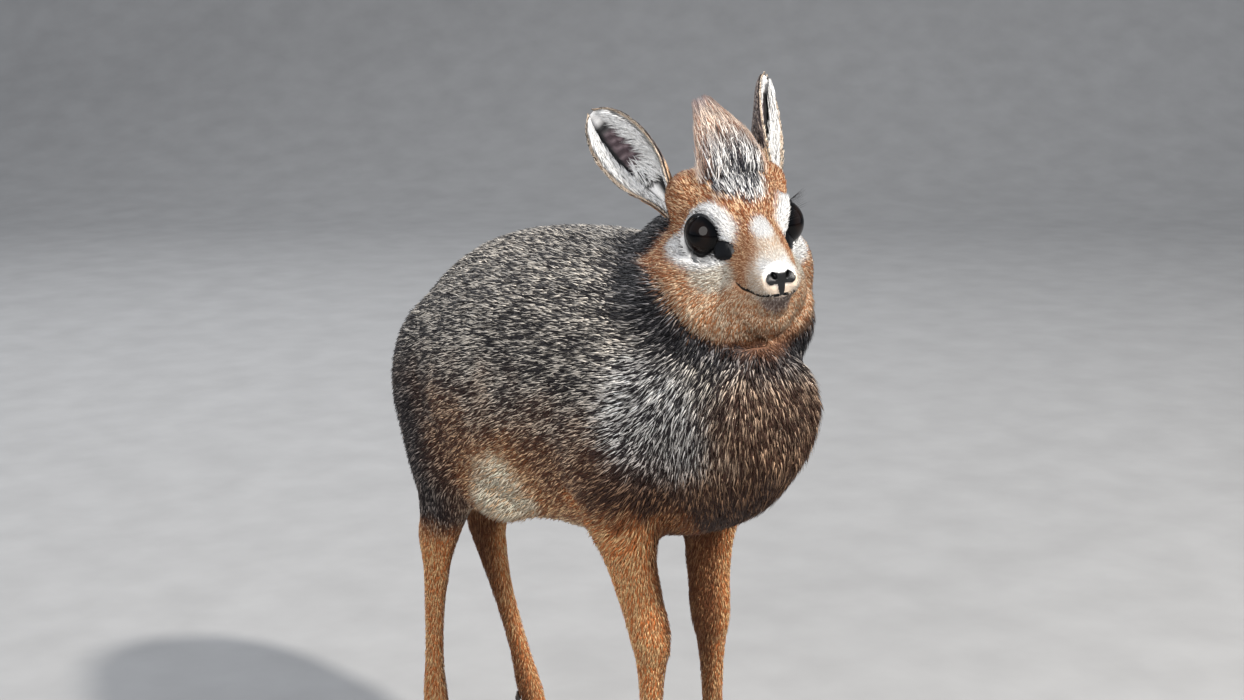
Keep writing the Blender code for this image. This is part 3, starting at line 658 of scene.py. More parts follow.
def coat_sizes(points):
    """The length and half width of the tufts at each point, their lift and how many per cm2."""
    local = to_head(points)
    face = face_share(points)
    muzzle = step(-2, -30, local[:, 1]) * face
    jaw = step(-22, -46, local[:, 2]) * face * (1 - 0.5 * muzzle)
    leg = leg_share(points)
    foot = step(60, 25, points[:, 2])
    chest = step(-130, -170, points[:, 1]) * step(210, 250, points[:, 2])
    groin = bump(np.abs(points) * (1, 0, 0) + points * (0, 1, 1), (46, -6, 210), (34, 38, 40))
    length = 9.0 + 1.6 * chest + 6.0 * groin
    length = between(length, 6.0, leg) - 1.5 * foot * leg
    length = between(length, 5.2, face)
    length = between(length, 2.6, muzzle) + 3.8 * jaw
    length = length + 4.5 * face * step(6, 16, local[:, 2]) * step(20, 12, np.abs(local[:, 0]))
    width = 0.036 * length + 0.05
    lift = np.radians(24 - 6 * leg - 9 * face + 4 * groin)
    amount = 90 + 16 * leg + 130 * face + 130 * muzzle
    return length, width, lift, amount


# The coat's tufts: closed slivers with a root, a ridged middle and a tip.

TUFT_FACES = np.array(((0, 3, 1), (0, 2, 3), (0, 1, 2), (4, 1, 3), (4, 3, 2), (4, 2, 1)))
PATCH = np.array(((0, -0.0015), (-0.0013, 0), (0.0013, 0), (0, 0), (0, 0.0015)))
MOST_TUFTS = 32000
HOOF_TOP, THINNING = 12.5, 0.8


def scatter(points, normals, faces, amount):
    """Random places on a surface, so many to the square centimetre, with their normals."""
    corners = points[faces]
    area = np.linalg.norm(np.cross(corners[:, 1] - corners[:, 0], corners[:, 2] - corners[:, 0]), axis=1) / 2
    due = np.cumsum(area * amount[faces].mean(axis=1) / 100)
    count = int(due[-1])
    spots = (np.arange(count) + CHANCE.random(count)) * due[-1] / count
    picks = faces[np.minimum(np.searchsorted(due, spots), len(faces) - 1)]
    share = CHANCE.random((count, 2))
    over = share.sum(axis=1) > 1
    share[over] = 1 - share[over]
    weights = np.stack([1 - share.sum(axis=1), share[:, 0], share[:, 1]], axis=1)[..., None]
    return (points[picks] * weights).sum(axis=1), unit((normals[picks] * weights).sum(axis=1))


def slivers(root, middle, tip, normals, width):
    """The five points of each tuft: root, left, right, ridge and tip."""
    side = unit(np.cross(tip - root, normals)) * width[:, None]
    ridge = middle + normals * (0.6 * width)[:, None]
    return np.stack([root, middle - side, middle + side, ridge, tip], axis=1)


def lying_tufts(roots, normals, ways, sizes):
    """Tufts that leave the skin at their lift and bend down along the coat."""
    length, width, lift, _ = sizes
    count = len(roots)
    length = length * CHANCE.uniform(0.72, 1.2, count)
    lift = lift * CHANCE.uniform(0.6, 1.4, count)
    stray = CHANCE.normal(0, 0.11, count)[:, None]
    ways = unit(ways + np.cross(normals, ways) * stray)
    rise = ways * np.cos(lift)[:, None] + normals * np.sin(lift)[:, None]
    fall = ways * np.cos(lift * 0.3)[:, None] + normals * np.sin(lift * 0.3)[:, None]
    middle = roots + rise * (0.42 * length)[:, None]
    bend = np.cross(ways, normals) * CHANCE.normal(0, 0.12, count)[:, None]
    tip = middle + unit(fall + bend) * (0.58 * length)[:, None]
    return slivers(roots - normals * 0.5, middle, tip, normals, width)


def shaded(tip, root_tone, middle_tone):
    """A tuft's colour at its five points, from the colour of its tip."""
    middle = tip * middle_tone
    return np.stack([tip * root_tone, middle, middle, middle, tip], axis=1)


def tuft_colours(marks, roots):
    """Some tufts pale and some dark, in patches, and each of them darkest at its root."""
    dark, pale, share = marks
    patches = 0.5 * blotches(roots, 3.5, 9) + 0.5 * blotches(roots, 11, 10)
    mixed = 0.74 * CHANCE.random(len(roots)) + 0.26 * patches
    light = step(0.84 - share * 0.8, 1.06 - share * 0.8, mixed)[:, None]
    tone = CHANCE.uniform(0.8, 1.12, len(roots))[:, None]
    return shaded(np.minimum(between(dark, pale, light) * tone, 1), 0.42, 0.82)


def turn_share(first, second):
    """The direction of an offset as a share of the full circle."""
    return np.arctan2(first, second) / math.tau + 0.5


def chart(points):
    """Each point's place on an unwrap of the skin: the trunk, the legs and the head."""
    x, y, z = points.T
    trunk = np.stack([0.02 + 0.46 * turn_share(x, z - 262),
                      0.02 + 0.58 * np.clip((y + 195) / 350, 0, 1)], axis=1)
    offset, _ = leg_offset(points)
    strip = 0.52 + 0.115 * (2 * (y > 0) + (x > 0))
    legs = np.stack([strip + 0.1 * turn_share(offset[:, 0], offset[:, 1]),
                     0.02 + 0.58 * np.clip(z / 225, 0, 1)], axis=1)
    local = to_head(points) - (0, 5, -14)
    height = np.arcsin(np.clip(local[:, 2] / np.linalg.norm(local, axis=1), -1, 1))
    face = np.stack([0.02 + 0.46 * turn_share(local[:, 0], -local[:, 1]),
                     0.64 + 0.34 * (height / math.pi + 0.5)], axis=1)
    on_leg = (leg_share(points) > 0.5)[:, None]
    on_face = (face_share(points) > 0.5)[:, None]
    return np.where(on_face, face, np.where(on_leg, legs, trunk))


def tuft_piece(name, corners, colours, places, material, slot, *nodes):
    """One mesh of many tufts, each with its own small patch of the unwrap."""
    count = len(corners)
    faces = (TUFT_FACES + (np.arange(count) * 5)[:, None, None]).reshape(-1, 3)
    patches = (places[:, None, :] + PATCH).reshape(-1, 2)
    piece = new_mesh(name, corners.reshape(-1, 3), faces, colours.reshape(-1, 3), patches[faces])
    finish_piece(piece, material, slot, *nodes)


def coat_zones(roots):
    """The part of the coat that each root belongs to."""
    face = face_share(roots) > 0.5
    leg = leg_share(roots) > 0.5
    zone = np.where(roots[:, 1] < -95, 1, np.where(roots[:, 0] < 0, 2, 3))
    zone = np.where(leg, np.where(roots[:, 1] < 0, 4, 5), zone)
    return np.where(face, 0, zone)


ZONES = (("face", "russet_coat"), ("chest", "grizzled_coat"), ("right_side", "grizzled_coat"),
         ("left_side", "grizzled_coat"), ("forelegs", "russet_coat"), ("hindlegs", "russet_coat"))


def bare(roots):
    """True where no hair grows: the eyes, the tear glands, the nose and the mouth's line."""
    local = to_head(roots)
    found = np.zeros(len(roots), bool)
    for side in (-1, 1):
        angle, turn, reach = eye_view(local, side)
        found |= (reach < 15.2) & (angle < lid_angle(turn) + 0.1)
        found |= (reach < 20) & (angle < lid_angle(turn) - 0.12)
        found |= np.linalg.norm((local - GLAND * (side, 1, 1)) / BARE_GLAND, axis=1) < 1
    found |= nose_black(local) & (local[:, 1] < -38)
    away = local[:, None, :] - MOUTH_PATH[None, ::4]
    return found | (np.min(np.linalg.norm(away, axis=2), axis=1) < 1.9)


def coat(skin_mesh, material):
    points, normals, faces = skin_mesh
    sizes = coat_sizes(points)
    amount = sizes[3] * step(HOOF_TOP, HOOF_TOP + 1, points[:, 2]) * (1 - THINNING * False)
    roots, ups = scatter(points, normals, faces, amount)
    keep = ~bare(roots)
    roots, ups = roots[keep], ups[keep]
    ways = along_skin(flow(roots), ups)
    corners = lying_tufts(roots, ups, ways, coat_sizes(roots))
    spread = (1.4 - 0.8 * face_share(roots))[:, None]
    colours = tuft_colours(markings(roots + CHANCE.normal(0, 1, roots.shape) * spread), roots)
    places = chart(roots)
    zones = coat_zones(roots)
    for zone, (name, slot) in enumerate(ZONES):
        picks = np.flatnonzero(zones == zone)
        picks = picks[np.argsort(roots[picks, 2], kind="stable")]
        for part in range(math.ceil(len(picks) / MOST_TUFTS)):
            some = picks[part * MOST_TUFTS:(part + 1) * MOST_TUFTS]
            piece_name = f"coat_{name}_{part + 1}"
            tuft_piece(piece_name, corners[some], colours[some], places[some], material, slot)


# The nose, the mouth's line and the tear glands.


MOUTH_TURN, MOUTH_HEIGHT = 84, -25.4
NOSE_MIDDLE, NOSE_REACH, NOSE_GRAIN = np.array((0, -42.0, -18.0)), 12.5, 0.5


def nose_black(local):
    """True on the bare black of the nose: two comma nostrils, and a stem down to the mouth."""
    x, _, z = local.T
    far = np.abs(x)
    comma = ((far - 4.2) / 4.0) ** 2 + ((z + 15.4 + 0.2 * far) / 3.3) ** 2 < 1
    bridge = (far < 4) & (z < -13.2 - 0.1 * far) & (z > -19.6)
    stem = (far < 1.3 + 0.14 * np.maximum(z + 26, 0)) & (z <= -17) & (z > -26)
    return comma | bridge | stem


def skin_tree(skin_mesh):
    points, _, faces = skin_mesh
    return BVHTree.FromPolygons(points.tolist(), faces.tolist())


def cast(tree, start, way):
    """Where a ray in the head's frame meets the skin."""
    spot = tree.ray_cast(Vector(from_head(start)), Vector(HEAD_AXES @ way))[0]
    return to_head(np.array(spot))


def mouth_path(tree):
    """Points on the skin along the mouth's line, from one corner round the front to the other."""
    path = []
    for turn in np.radians(np.linspace(-MOUTH_TURN, MOUTH_TURN, 61)):
        side = abs(turn) / math.radians(MOUTH_TURN)
        height = MOUTH_HEIGHT + 0.9 * side ** 2 + 2.2 * max(0.0, side - 0.82) / 0.18
        way = np.array((math.sin(turn), -math.cos(turn), 0.0))
        path.append(cast(tree, np.array((0, -21.0, height)), way))
    return np.array(path)


def strip(path, outward, width, thickness):
    """A flat ribbon along a path on the skin, its edges sunk in and its middle raised."""
    along = unit(np.gradient(path, axis=0))
    across = unit(np.cross(along, outward)) * width[:, None]
    rows = []
    for share, lift in ((-1, -0.4), (-0.6, 0.15), (0, 1), (0.6, 0.15), (1, -0.4)):
        rows.append(path + across * share + outward * (thickness * lift))
    grid = np.stack(rows, axis=1)
    return grid.reshape(-1, 3), grid_faces(len(path), len(rows))


def mouth(material):
    outward = unit(MOUTH_PATH - (0, -18, -26))
    place = np.abs(np.linspace(-1, 1, len(MOUTH_PATH)))
    width = 1.15 * np.sqrt(np.maximum(0.02, 1 - place ** 6))
    points, faces = strip(MOUTH_PATH + outward * 0.35, outward, width, 0.35)
    piece = new_mesh("mouth", from_head(points), faces)
    finish_piece(piece, material, "russet_coat")


def nose(material):
    """The end of the muzzle at a finer grain, which carries the nostrils' own hollows."""
    points, normals, faces = mesh_arrays(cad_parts["head"])
    piece = new_mesh("nose", points + normals * 0.3, faces)
    remesh(piece, NOSE_GRAIN, 4)
    keep_near(piece, NOSE_MIDDLE, NOSE_REACH)
    points, normals, _ = mesh_arrays(piece)
    local = to_head(points)
    black = nose_black(local) & (local[:, 1] < -37)
    away = np.linalg.norm(local - NOSE_MIDDLE, axis=1)
    depth = np.where(black, 0.15, 0.75) + 1.6 * step(NOSE_REACH - 3, NOSE_REACH, away)
    set_points(piece, points - normals * depth[:, None])
    colours = one_tone(markings(points), UNDERCOAT_PALE)
    paint(piece.data, np.where(black[:, None], linear(9, 9, 10), colours))
    finish_piece(piece, material, "russet_coat")


def keep_near(piece, centre, radius):
    """Deletes all of a piece but what lies near a point of the head's frame."""
    bm = bmesh.new()
    bm.from_mesh(piece.data)
    points = np.array([vertex.co[:] for vertex in bm.verts])
    away = np.linalg.norm(to_head(from_scene(points)) - centre, axis=1)
    far = [vertex for vertex, reach in zip(bm.verts, away) if reach > radius]
    bmesh.ops.delete(bm, geom=far, context="VERTS")
    bm.to_mesh(piece.data)
    bm.free()


GLAND_RINGS, GLAND_SPOKES = 9, 32


def gland(side, tree, material):
    """A bare black lobe, low and rounded, that lies on the skin in front of the eye."""
    centre = GLAND * (side, 1, 1)
    outward = unit(np.array((0.80 * side, -0.62, 0.1)))
    along = unit(np.cross(np.array((0, 0, 1.0)), outward)) * side
    up = np.cross(outward, along) * side
    rows = []
    for share in np.arange(GLAND_RINGS) / (GLAND_RINGS - 1):
        for turn in np.arange(GLAND_SPOKES) * math.tau / GLAND_SPOKES:
            reach = share * (6.8 + 1.0 * math.cos(2 * turn))
            offset = along * math.cos(turn) * reach + up * math.sin(turn) * reach
            spot = cast(tree, centre + offset + outward * 14, -outward)
            rows.append(spot + outward * (1.5 * math.sqrt(max(0.0, 1 - share ** 2.2)) - 0.5 * share ** 4))
    faces = grid_faces(GLAND_RINGS, GLAND_SPOKES, closed=True)
    piece = new_mesh(f"gland_{SIDE_NAMES[side]}", from_head(np.array(rows)), faces)
    finish_piece(piece, material, "russet_coat")


# The eyes, their lids and lashes.

SIDE_NAMES = {-1: "right", 1: "left"}
EYE_RINGS, EYE_SPOKES, LID_SPOKES = 33, 64, 96
LASH_HALF_WIDTH = 0.13


def eye_way(side, angle, turn):
    facing, front, up = eye_axes(side)
    angle, turn = np.asarray(angle)[..., None], np.asarray(turn)[..., None]
    return facing * np.cos(angle) + (front * np.cos(turn) + up * np.sin(turn)) * np.sin(angle)


def eyeball(side, material):
    """A finely divided ball with a long pupil and a dark brown ring round it."""
    angle = np.linspace(0.001, math.pi - 0.001, EYE_RINGS)[:, None]
    turn = np.arange(EYE_SPOKES)[None] * math.tau / EYE_SPOKES
    ways = eye_way(side, *np.broadcast_arrays(angle, turn))
    points = EYES[side] + ways.reshape(-1, 3) * (EYE_RADIUS + 0.02)
    faces = grid_faces(EYE_RINGS, EYE_SPOKES, closed=True)
    long, high = angle * np.cos(turn), angle * np.sin(turn)
    pupil = np.hypot(long / 0.36, high / 0.2).ravel()
    ring = np.broadcast_to(angle, long.shape).ravel()
    brown = (step(0.9, 1.3, pupil) * step(0.86, 0.6, ring))[:, None]
    colours = between(linear(3, 3, 4), linear(20, 12, 9), brown)
    name = SIDE_NAMES[side]
    piece = new_mesh(f"eyeball_{name}", from_head(points), faces if side < 0 else faces[:, ::-1], colours)
    finish_piece(piece, material, "eye", f"eye_{name}")


# Each row of a lid: its angle outside the lid's edge, its lift and its share on the skin.
LID_ROWS = ((-0.03, 0.08, 0.0), (0.0, 0.5, 0.0), (0.04, 0.85, 0.0), (0.08, 0.85, 0.2),
            (0.13, 0.3, 0.6), (0.19, -0.5, 1.0), (0.27, -1.6, 1.0))


def lids(side, tree, material):
    """A rounded rim round the eye, wet black at its edge, that runs out into the skin."""
    turns = np.arange(LID_SPOKES) * math.tau / LID_SPOKES
    rows, colours = [], []
    for offset, lift, on_skin in LID_ROWS:
        ways = eye_way(side, lid_angle(turns) + offset, turns)
        reach = np.array([np.linalg.norm(cast(tree, EYES[side], way) - EYES[side]) for way in ways])
        reach = np.clip(reach, EYE_RADIUS - 1.5, EYE_RADIUS + 0.6)
        reach = np.mean([np.roll(reach, shift) for shift in range(-5, 6)], axis=0)
        reach = EYE_RADIUS * (1 - on_skin) + reach * on_skin + lift
        rows.append(EYES[side] + ways * reach[:, None])
        tone = linear(9, 8, 9) if offset < 0.1 else linear(196, 192, 190)
        colours.append(np.tile(tone, (LID_SPOKES, 1)))
    faces = grid_faces(len(LID_ROWS), LID_SPOKES, closed=True)
    piece = new_mesh(f"lids_{SIDE_NAMES[side]}", from_head(np.concatenate(rows)),
                     faces if side < 0 else faces[:, ::-1], np.concatenate(colours))
    finish_piece(piece, material, "russet_coat")


def lashes(material):
    """Long dark hairs along both upper lids, swept out and back."""
    points, outs = [], []
    for side in (-1, 1):
        for turn in np.radians(np.linspace(18, 165, 30)):
            way = eye_way(side, lid_angle(turn) + 0.06, turn)
            out = unit(way + 0.9 * EYE_FACING * (side, 1, 1))
            root = EYES[side] + way * (EYE_RADIUS + 0.7)
            length = CHANCE.uniform(7, 11)
            lean = unit(out + (0.2 * side, CHANCE.uniform(-0.2, 0.3), 0.12))
            middle = root + out * length * 0.45
            points.append((root, middle, middle + lean * length * 0.55))
            outs.append(unit(np.cross(lean, (0, 1.0, 0.2))))
    roots, middles, tips = from_head(points).transpose(1, 0, 2)
    width = np.full(len(roots), LASH_HALF_WIDTH)
    corners = slivers(roots, middles, tips, np.array(outs) @ HEAD_AXES.T, width)
    colours = np.broadcast_to(linear(16, 15, 17), (len(roots), 5, 3))
    tuft_piece("lashes", corners, colours, chart(roots), material, "russet_coat")


# The crest.

# Each station of the crest: its middle in the head's frame, its half width and its half depth.
CREST = np.array(((-1, 19, 13, 22, 17), (1, 26, 32, 19, 13), (-1, 38, 46, 13.5, 9), (-4.5, 51, 59, 5, 4)))
LOCKS = 90
CREST_TUFTS = 9000


def crest_station(along):
    places = np.linspace(0, 1, len(CREST))
    mixed = [np.interp(along, places, CREST[:, i]) for i in range(5)]
    beyond = np.maximum(0, along - 1)[:, None] * (CREST[-1, :3] - CREST[-2, :3])
    return np.stack(mixed[:3], axis=1) + beyond, mixed[3], mixed[4]


def crest_point(along, turn, out):
    """Points on the crest's form in the head's frame, with the ways out of it."""
    middle, wide, deep = crest_station(along)
    way = unit(crest_station(along + 0.05)[0] - crest_station(along - 0.05)[0])
    side = np.array((1.0, 0, 0))
    over = unit(np.cross(side, way))
    turned, raised = (np.cos(turn) * wide)[:, None], (np.sin(turn) * deep)[:, None]
    outward = side * turned + over * raised
    round_way = unit(over * (np.cos(turn) * deep)[:, None] - side * (np.sin(turn) * wide)[:, None])
    return middle + outward * out[:, None], unit(np.cross(round_way, way))


def crest(material):
    """Long fine hairs in many locks that draw together towards their tips."""
    lock = CHANCE.integers(0, LOCKS, CREST_TUFTS)
    lock_turn = CHANCE.uniform(0, math.tau, LOCKS)[lock]
    lock_start = CHANCE.uniform(-0.12, 0.66, LOCKS)[lock]
    lock_swirl = CHANCE.normal(0, 0.22, LOCKS)[lock]
    lock_length = CHANCE.uniform(0.34, 0.56, LOCKS)[lock]
    start = np.clip(lock_start + CHANCE.normal(0, 0.07, CREST_TUFTS), -0.2, 0.8)
    turn = lock_turn + CHANCE.normal(0, 0.3, CREST_TUFTS)
    end = np.minimum(lock_start + lock_length + CHANCE.normal(0, 0.08, CREST_TUFTS), 1.12)
    last_turn = lock_turn + lock_swirl + CHANCE.normal(0, 0.2, CREST_TUFTS)
    depth = CHANCE.uniform(0.55, 1.0, CREST_TUFTS)
    root, normal = crest_point(start, turn, depth * 0.7)
    middle, _ = crest_point(start + 0.5 * (end - start), (turn + last_turn) / 2, depth * 0.98)
    tip, _ = crest_point(end, last_turn, depth * 1.1)
    width = CHANCE.uniform(0.2, 0.4, CREST_TUFTS)
    corners = from_head(slivers(root, middle, tip, normal, width))
    colours = crest_colours(start, end, turn, root, tip)
    places = np.stack([0.52 + 0.2 * (turn / math.tau % 1), 0.64 + 0.3 * np.clip(start, 0, 1)], axis=1)
    tuft_piece("crest_hair", corners, colours, places, material, "crest_coat", "crest")


def crest_colours(start, end, turn, root, tip):
    """Tan hair, streaked black and white over the forehead and purplish on one side of the tip."""
    height = np.clip(start[:, None] + np.array((0, 0.5, 0.5, 0.5, 1.0)) * (end - start)[:, None], 0, 1)
    chance = 0.6 * CHANCE.random(CREST_TUFTS) + 0.4 * blotches(root, 4, 5)
    light = step(0.34, 0.62, chance)[:, None, None]
    tan, purple, streak = (between(*marks[:2], light) for marks in (CREST_HAIR, CREST_TIP, FOREHEAD))
    front = step(17, 9, np.abs(root[:, 0] + 1)) * step(-0.1, 0.4, np.sin(turn))
    tan = between(tan, streak, (front[:, None] * step(0.75, 0.35, height))[..., None])
    top = 0.8 * (step(0.8, 1.04, height) * step(8, -8, tip[:, :1]))[..., None]
    return between(tan, purple, top) * np.array((0.5, 0.85, 0.85, 0.85, 1.0))[:, None]


# The ears.

EAR_LENGTH, EAR_HALF_WIDTH, EAR_WIDEST, EAR_THICKNESS = 72, 19, 0.42, 1.7
# Each ear: its root, the way it leans, the way its cup opens and the side of its inner edge.
EARS = {
    "ear_right": ((-29, 35, 4), (-31, 36, 50), (-0.62, -0.78, 0.1), 1),
    "ear_left": ((31, 35, 4), (10, 36, 56), (0.78, -0.62, 0.1), -1),
}
EAR_MIDDLE = hairs((48, 36, 42), (92, 72, 76), 0.4)
EAR_RIDGE = hairs((120, 102, 106), (176, 160, 164), 0.5)
EAR_RIM = hairs((176, 150, 126), (238, 222, 202), 0.6)
EAR_BACK = hairs((70, 60, 60), (150, 134, 124), 0.4)
EAR_ROOT = hairs((160, 112, 76), (230, 200, 166), 0.5)


def ear_surface(name, along, across, thickness):
    """Points of an ear's cup: along it from root to tip, across it from -1 to 1 at its inner edge."""
    root, lean, opening, inner_edge = EARS[name]
    way = unit(np.array(lean, float))
    front = unit(np.array(opening) - way * np.dot(opening, way))
    side = np.cross(way, front)
    widening = 0.45 + 0.55 * step(0, EAR_WIDEST, along)
    beyond = np.maximum(0, along - EAR_WIDEST) / (1 - EAR_WIDEST)
    half_width = EAR_HALF_WIDTH * widening * np.maximum(0.1, np.sqrt(np.maximum(0, 1 - beyond ** 2.3)))
    curl = np.radians(112 - 70 * step(0, 0.8, along))
    radius = half_width / curl
    turn = curl * across * inner_edge
    outward = side * np.sin(turn)[..., None] - front * np.cos(turn)[..., None]
    middle = np.array(root) + way * (EAR_LENGTH * along)[..., None]
    middle = middle + front * (radius * np.cos(curl))[..., None]
    return middle + outward * (radius + thickness)[..., None], outward


def ear_marks(along, across):
    """The cup's inner face: a pale border, black lines and a dark ridged middle."""
    marks = everywhere((*WHITE[:2], 0.6), len(along))
    ragged = (blotches(np.stack([along * 30, across * 12, along * 0], axis=1), 3, 6) - 0.5) * 0.2
    centre = step(0.28, 0.42, along) * step(0.93, 0.8, along)
    centre = centre * step(-0.62, -0.5, across) * step(0.4, 0.2, across)
    marks = blend(marks, EAR_MIDDLE, centre)
    ridges = step(0.2, 0.9, np.sin(along * 88 + across * 5 + ragged * 12))
    marks = blend(marks, EAR_RIDGE, 0.6 * centre * ridges)
    marks = blend(marks, INKY, np.clip(4.4 * centre * (1 - centre), 0, 1))
    line = step(0.16, 0.07, np.abs(across + 0.55 - 0.1 * along))
    marks = blend(marks, INKY, line * step(0.12, 0.2, along) * step(0.95, 0.85, along))
    low = step(0.42, 0.16, np.abs(across - 0.1 + ragged))
    marks = blend(marks, INKY, low * step(0.04, 0.1, along) * step(0.36, 0.27, along))
    return blend(marks, EAR_RIM, step(0.86, 0.95, np.abs(across)))


def ear(name, material):
    """A finer cup than the solid, with ribs inside it and marked on both faces."""
    rows, columns = 44, 29
    along, across = np.meshgrid(np.linspace(0, 1, rows), np.linspace(-1, 1, columns), indexing="ij")
    ribs = 0.35 * np.sin(across * 26 + along * 3) * step(0.3, 0.4, along) * step(0.9, 0.8, along)
    ribs = ribs * step(0.45, 0.25, across) * step(-0.6, -0.45, across)
    inner, _ = ear_surface(name, along, across, 0.25 - ribs)
    outer, _ = ear_surface(name, along, across, (EAR_THICKNESS - 0.35) * (1 - 0.5 * along))
    points = from_head(np.concatenate([inner.reshape(-1, 3), outer.reshape(-1, 3)]))
    front = grid_faces(rows, columns)
    rim = rim_indices(rows, columns)
    after = np.roll(rim, -1)
    edge = np.stack([rim, after, after + rows * columns, rim + rows * columns], axis=1)
    faces = np.concatenate([front[:, ::-1], front + rows * columns, edge[:, ::-1]])
    if EARS[name][3] < 0:
        faces = faces[:, ::-1]
    inside = one_tone(ear_marks(along.ravel(), across.ravel()), 0.7)
    back = np.broadcast_to(EAR_BACK[0], inside.shape)
    piece = new_mesh(name + "_cup", points, faces, np.concatenate([inside, back]))
    finish_piece(piece, material, "pale_coat", name)


def rim_indices(rows, columns):
    """The indices round the edge of a grid, in order."""
    grid = np.arange(rows * columns).reshape(rows, columns)
    return np.concatenate([grid[:-1, 0], grid[-1, :-1], grid[::-1, -1][:-1], grid[0, ::-1][:-1]])


def ear_hair(name, material):
    """The ear's fur: short on its back, a fringe round its rim and long pale hairs within."""
    groups = [ear_back_hair(name), ear_rim_hair(name), ear_inner_hair(name)]
    corners, colours, along, across = (np.concatenate(part) for part in zip(*groups))
    left = 0.74 if name == "ear_right" else 0.87
    places = np.stack([left + 0.05 * (across + 1), 0.66 + 0.3 * np.clip(along, 0, 1)], axis=1)
    tuft_piece(name + "_hair", from_head(corners), colours, places, material, "pale_coat")


def ear_tufts(name, along, across, end_along, end_across, rises, facing, colours):
    """Tufts from one place on the ear to another, by their heights over its inner face."""
    root, normal = ear_surface(name, along, across, rises[0])
    middle, _ = ear_surface(name, (along + end_along) / 2, (across + end_across) / 2, rises[1])
    tip, _ = ear_surface(name, end_along, end_across, rises[2])
    width = CHANCE.uniform(0.22, 0.42, len(along))
    return slivers(root, middle, tip, normal * facing, width), colours, along, across


def shades(marks, count):
    """The colours of loose tufts in one kind of marking."""
    light = step(0.8 - marks[2], 1.2 - marks[2], CHANCE.random(count))[:, None]
    return shaded(between(marks[0], marks[1], light), 0.5, 0.85)


def ear_back_hair(name):
    count = 3600
    along, across = CHANCE.uniform(0, 0.97, count), CHANCE.uniform(-1, 1, count)
    thick = (EAR_THICKNESS - 0.4) * (1 - 0.5 * along)
    end = along + CHANCE.uniform(0.05, 0.08, count)
    low = along < 0.3
    colours = np.where(low[:, None, None], shades(EAR_ROOT, count), shades(EAR_BACK, count))
    rises = (thick, thick + 0.9, thick + 0.9)
    return ear_tufts(name, along, across, np.minimum(end, 1), across, rises, 1, colours)


def ear_rim_hair(name):
    count = 2400
    along = CHANCE.uniform(0.02, 1, count)
    edge = np.where(CHANCE.random(count) < 0.5, -1, 1)
    across = edge * CHANCE.uniform(0.93, 1.0, count)
    reach = CHANCE.uniform(0.03, 0.1, count)
    end = np.minimum(along + CHANCE.uniform(0.02, 0.07, count), 1.02)
    rises = (np.full(count, 0.4), np.full(count, 0.5), CHANCE.uniform(-0.5, 0.9, count))
    dark = (CHANCE.random(count) < 0.25)[:, None, None]
    colours = np.where(dark, shades(INKY, count), shades(EAR_RIM, count))
    return ear_tufts(name, along, across, end, across + edge * reach, rises, 1, colours)


def ear_inner_hair(name):
    """Long pale hairs from both edges that sweep in over the cup and up."""
    count = 2100
    inner = CHANCE.random(count) < 0.6
    between = CHANCE.random(count) < 0.16
    along = np.where(between, CHANCE.uniform(0.26, 0.42, count), CHANCE.uniform(0.02, 0.9, count))
    across = np.where(inner, CHANCE.uniform(0.55, 0.98, count), CHANCE.uniform(-0.98, -0.6, count))
    across = np.where(between, across * CHANCE.random(count), across)
    inward = np.where(inner, -CHANCE.uniform(0.1, 0.6, count), CHANCE.uniform(0.05, 0.16, count))
    inward = inward * np.where(inner & (along < 0.36), 0.45, 1)
    end = along + CHANCE.uniform(0.06, 0.17, count)
    height = CHANCE.uniform(0.8, 3.0, count)
    rises = (np.full(count, 0.2), -height * 0.8, -height)
    colours = shades(WHITE, count)
    return ear_tufts(name, along, across, np.minimum(end, 0.98), across + inward, rises, -1, colours)


# The floor, the light and the camera. The floor's measures are in metres.

CAMERA_SPOT, CAMERA_TURN, CAMERA_DIP, CAMERA_LENS = (-676.2, -887.25, 535.5), 51, 12.4, 55.33
FLOOR_NEAR, FLOOR_BEND, FLOOR_REACH, BEND_RADIUS, BACKDROP_TOP = -6.0, 2.4, 8.0, 1.4, 7.0
SKY, SKY_STRENGTH = (0.78, 0.86, 1.0, 1), 0.56

# Each light: its name, its place and size in metres, its power in watts and its colour.
LIGHTS = (
    ("key", (0.55, -1.65, 2.1), 0.18, 118, (1.0, 0.95, 0.88)),
    ("fill", (-1.9, -0.7, 1.1), 1.6, 40, (1.0, 0.97, 0.94)),
    ("rim", (0.4, 1.7, 1.9), 1.2, 40, (0.95, 0.97, 1.0)),
)


def area_light(name, place, size, power, colour, aim=(0, 0, 0.24)):
    light = bpy.data.lights.new(name, "AREA")
    light.shape = "DISK"
    light.size = size
    light.energy = power
    light.color = colour
    lamp = bpy.data.objects.new(name, light)
    lamp.location = place
    lamp.rotation_euler = (Vector(aim) - Vector(place)).to_track_quat("-Z", "Y").to_euler()
    bpy.context.scene.collection.objects.link(lamp)


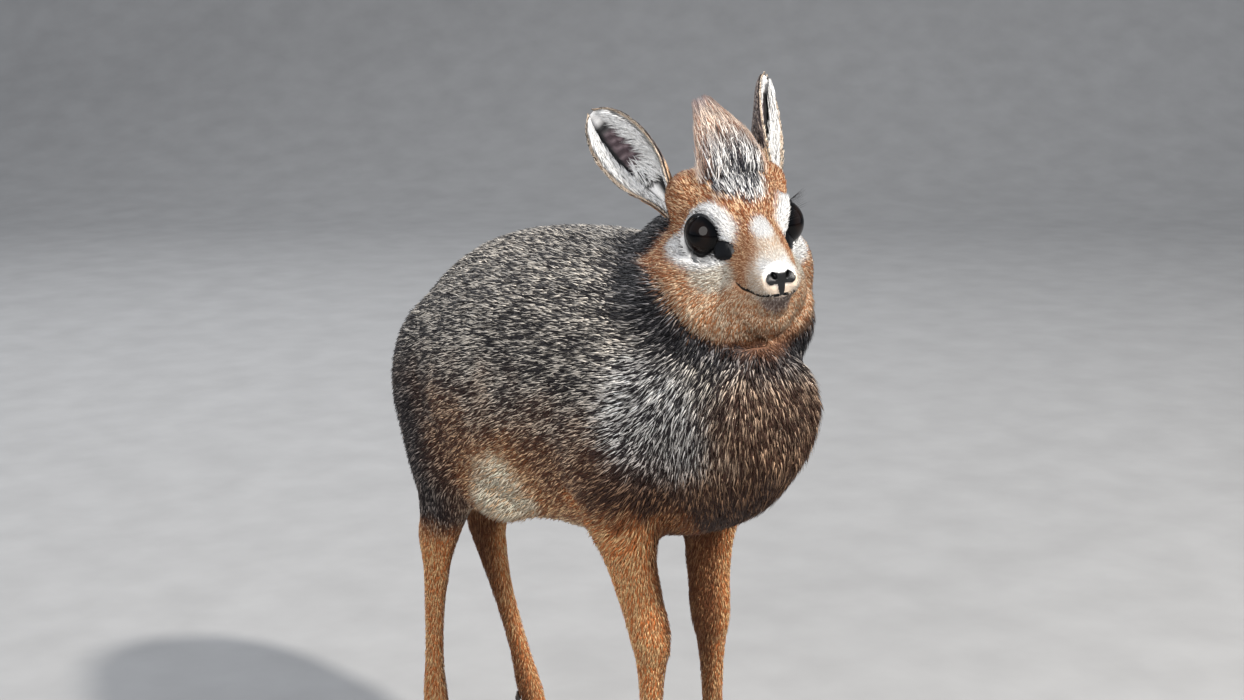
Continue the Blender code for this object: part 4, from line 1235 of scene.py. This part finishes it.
def floor():
    """A wide pale floor that curves up into a backdrop behind the animal."""
    turn = math.radians(CAMERA_TURN)
    ahead = np.array((math.cos(turn), math.sin(turn), 0))
    across = np.array((-math.sin(turn), math.cos(turn), 0))
    bend = np.linspace(0.05, math.pi / 2, 16)
    away = [FLOOR_NEAR, FLOOR_BEND, *(FLOOR_BEND + BEND_RADIUS * np.sin(bend)), FLOOR_BEND + BEND_RADIUS]
    height = [0, 0, *(BEND_RADIUS * (1 - np.cos(bend))), BACKDROP_TOP]
    points = [ahead * far + across * sideways + (0, 0, high)
              for far, high in zip(away, height) for sideways in np.linspace(-FLOOR_REACH, FLOOR_REACH, 9)]
    made = new_mesh("floor", from_scene(np.array(points)), grid_faces(len(away), 9)[:, ::-1])
    made.data.materials.append(floor_material())


def camera():
    made = bpy.data.objects.new("camera", bpy.data.cameras.new("camera"))
    bpy.context.scene.collection.objects.link(made)
    made.data.sensor_width = 36
    made.data.lens = CAMERA_LENS
    turn, dip = math.radians(CAMERA_TURN), math.radians(CAMERA_DIP)
    ahead = Vector((math.cos(turn) * math.cos(dip), math.sin(turn) * math.cos(dip), -math.sin(dip)))
    made.location = to_scene(CAMERA_SPOT)
    made.rotation_mode = "QUATERNION"
    made.rotation_quaternion = ahead.to_track_quat("-Z", "Y")
    made.data.clip_start = 0.05
    bpy.context.scene.camera = made


def studio():
    world = bpy.data.worlds.new("studio")
    world.use_nodes = True
    background = world.node_tree.nodes["Background"]
    background.inputs["Color"].default_value = SKY
    background.inputs["Strength"].default_value = SKY_STRENGTH
    bpy.context.scene.world = world
    bpy.context.scene.view_settings.view_transform = "Standard"
    for light in LIGHTS:
        area_light(*light)


# The claws.


def horns():
    """Better horn on the claws, which are rigid and keep their solids."""
    material = horn_material()
    for name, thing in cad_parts.items():
        if "claw" in name:
            thing.data.materials.clear()
            thing.data.materials.append(material)


# The whole.

coat_hair = tinted_material("coat_hair", 0.62, 0.35, 0.05)
wet_leather = leather_material()
hide = skin()
hide_mesh = mesh_arrays(hide)
hide_tree = skin_tree(hide_mesh)
MOUTH_PATH = mouth_path(hide_tree)
coat(hide_mesh, coat_hair)
crest(coat_hair)
for ear_name in EARS:
    ear(ear_name, tinted_material(ear_name + "_skin", 0.6, 0.5, 0.2))
    ear_hair(ear_name, coat_hair)
gloss = eye_material()
lid_skin = tinted_material("lid_skin", 0.35, 0.4, 0.1, 0.5)
for eye_side in (-1, 1):
    eyeball(eye_side, gloss)
    lids(eye_side, hide_tree, lid_skin)
    gland(eye_side, hide_tree, wet_leather)
lashes(coat_hair)
nose(tinted_material("nose_skin", 0.4, 0.5, 0.2, 0.5))
mouth(wet_leather)
horns()
floor()
studio()
camera()
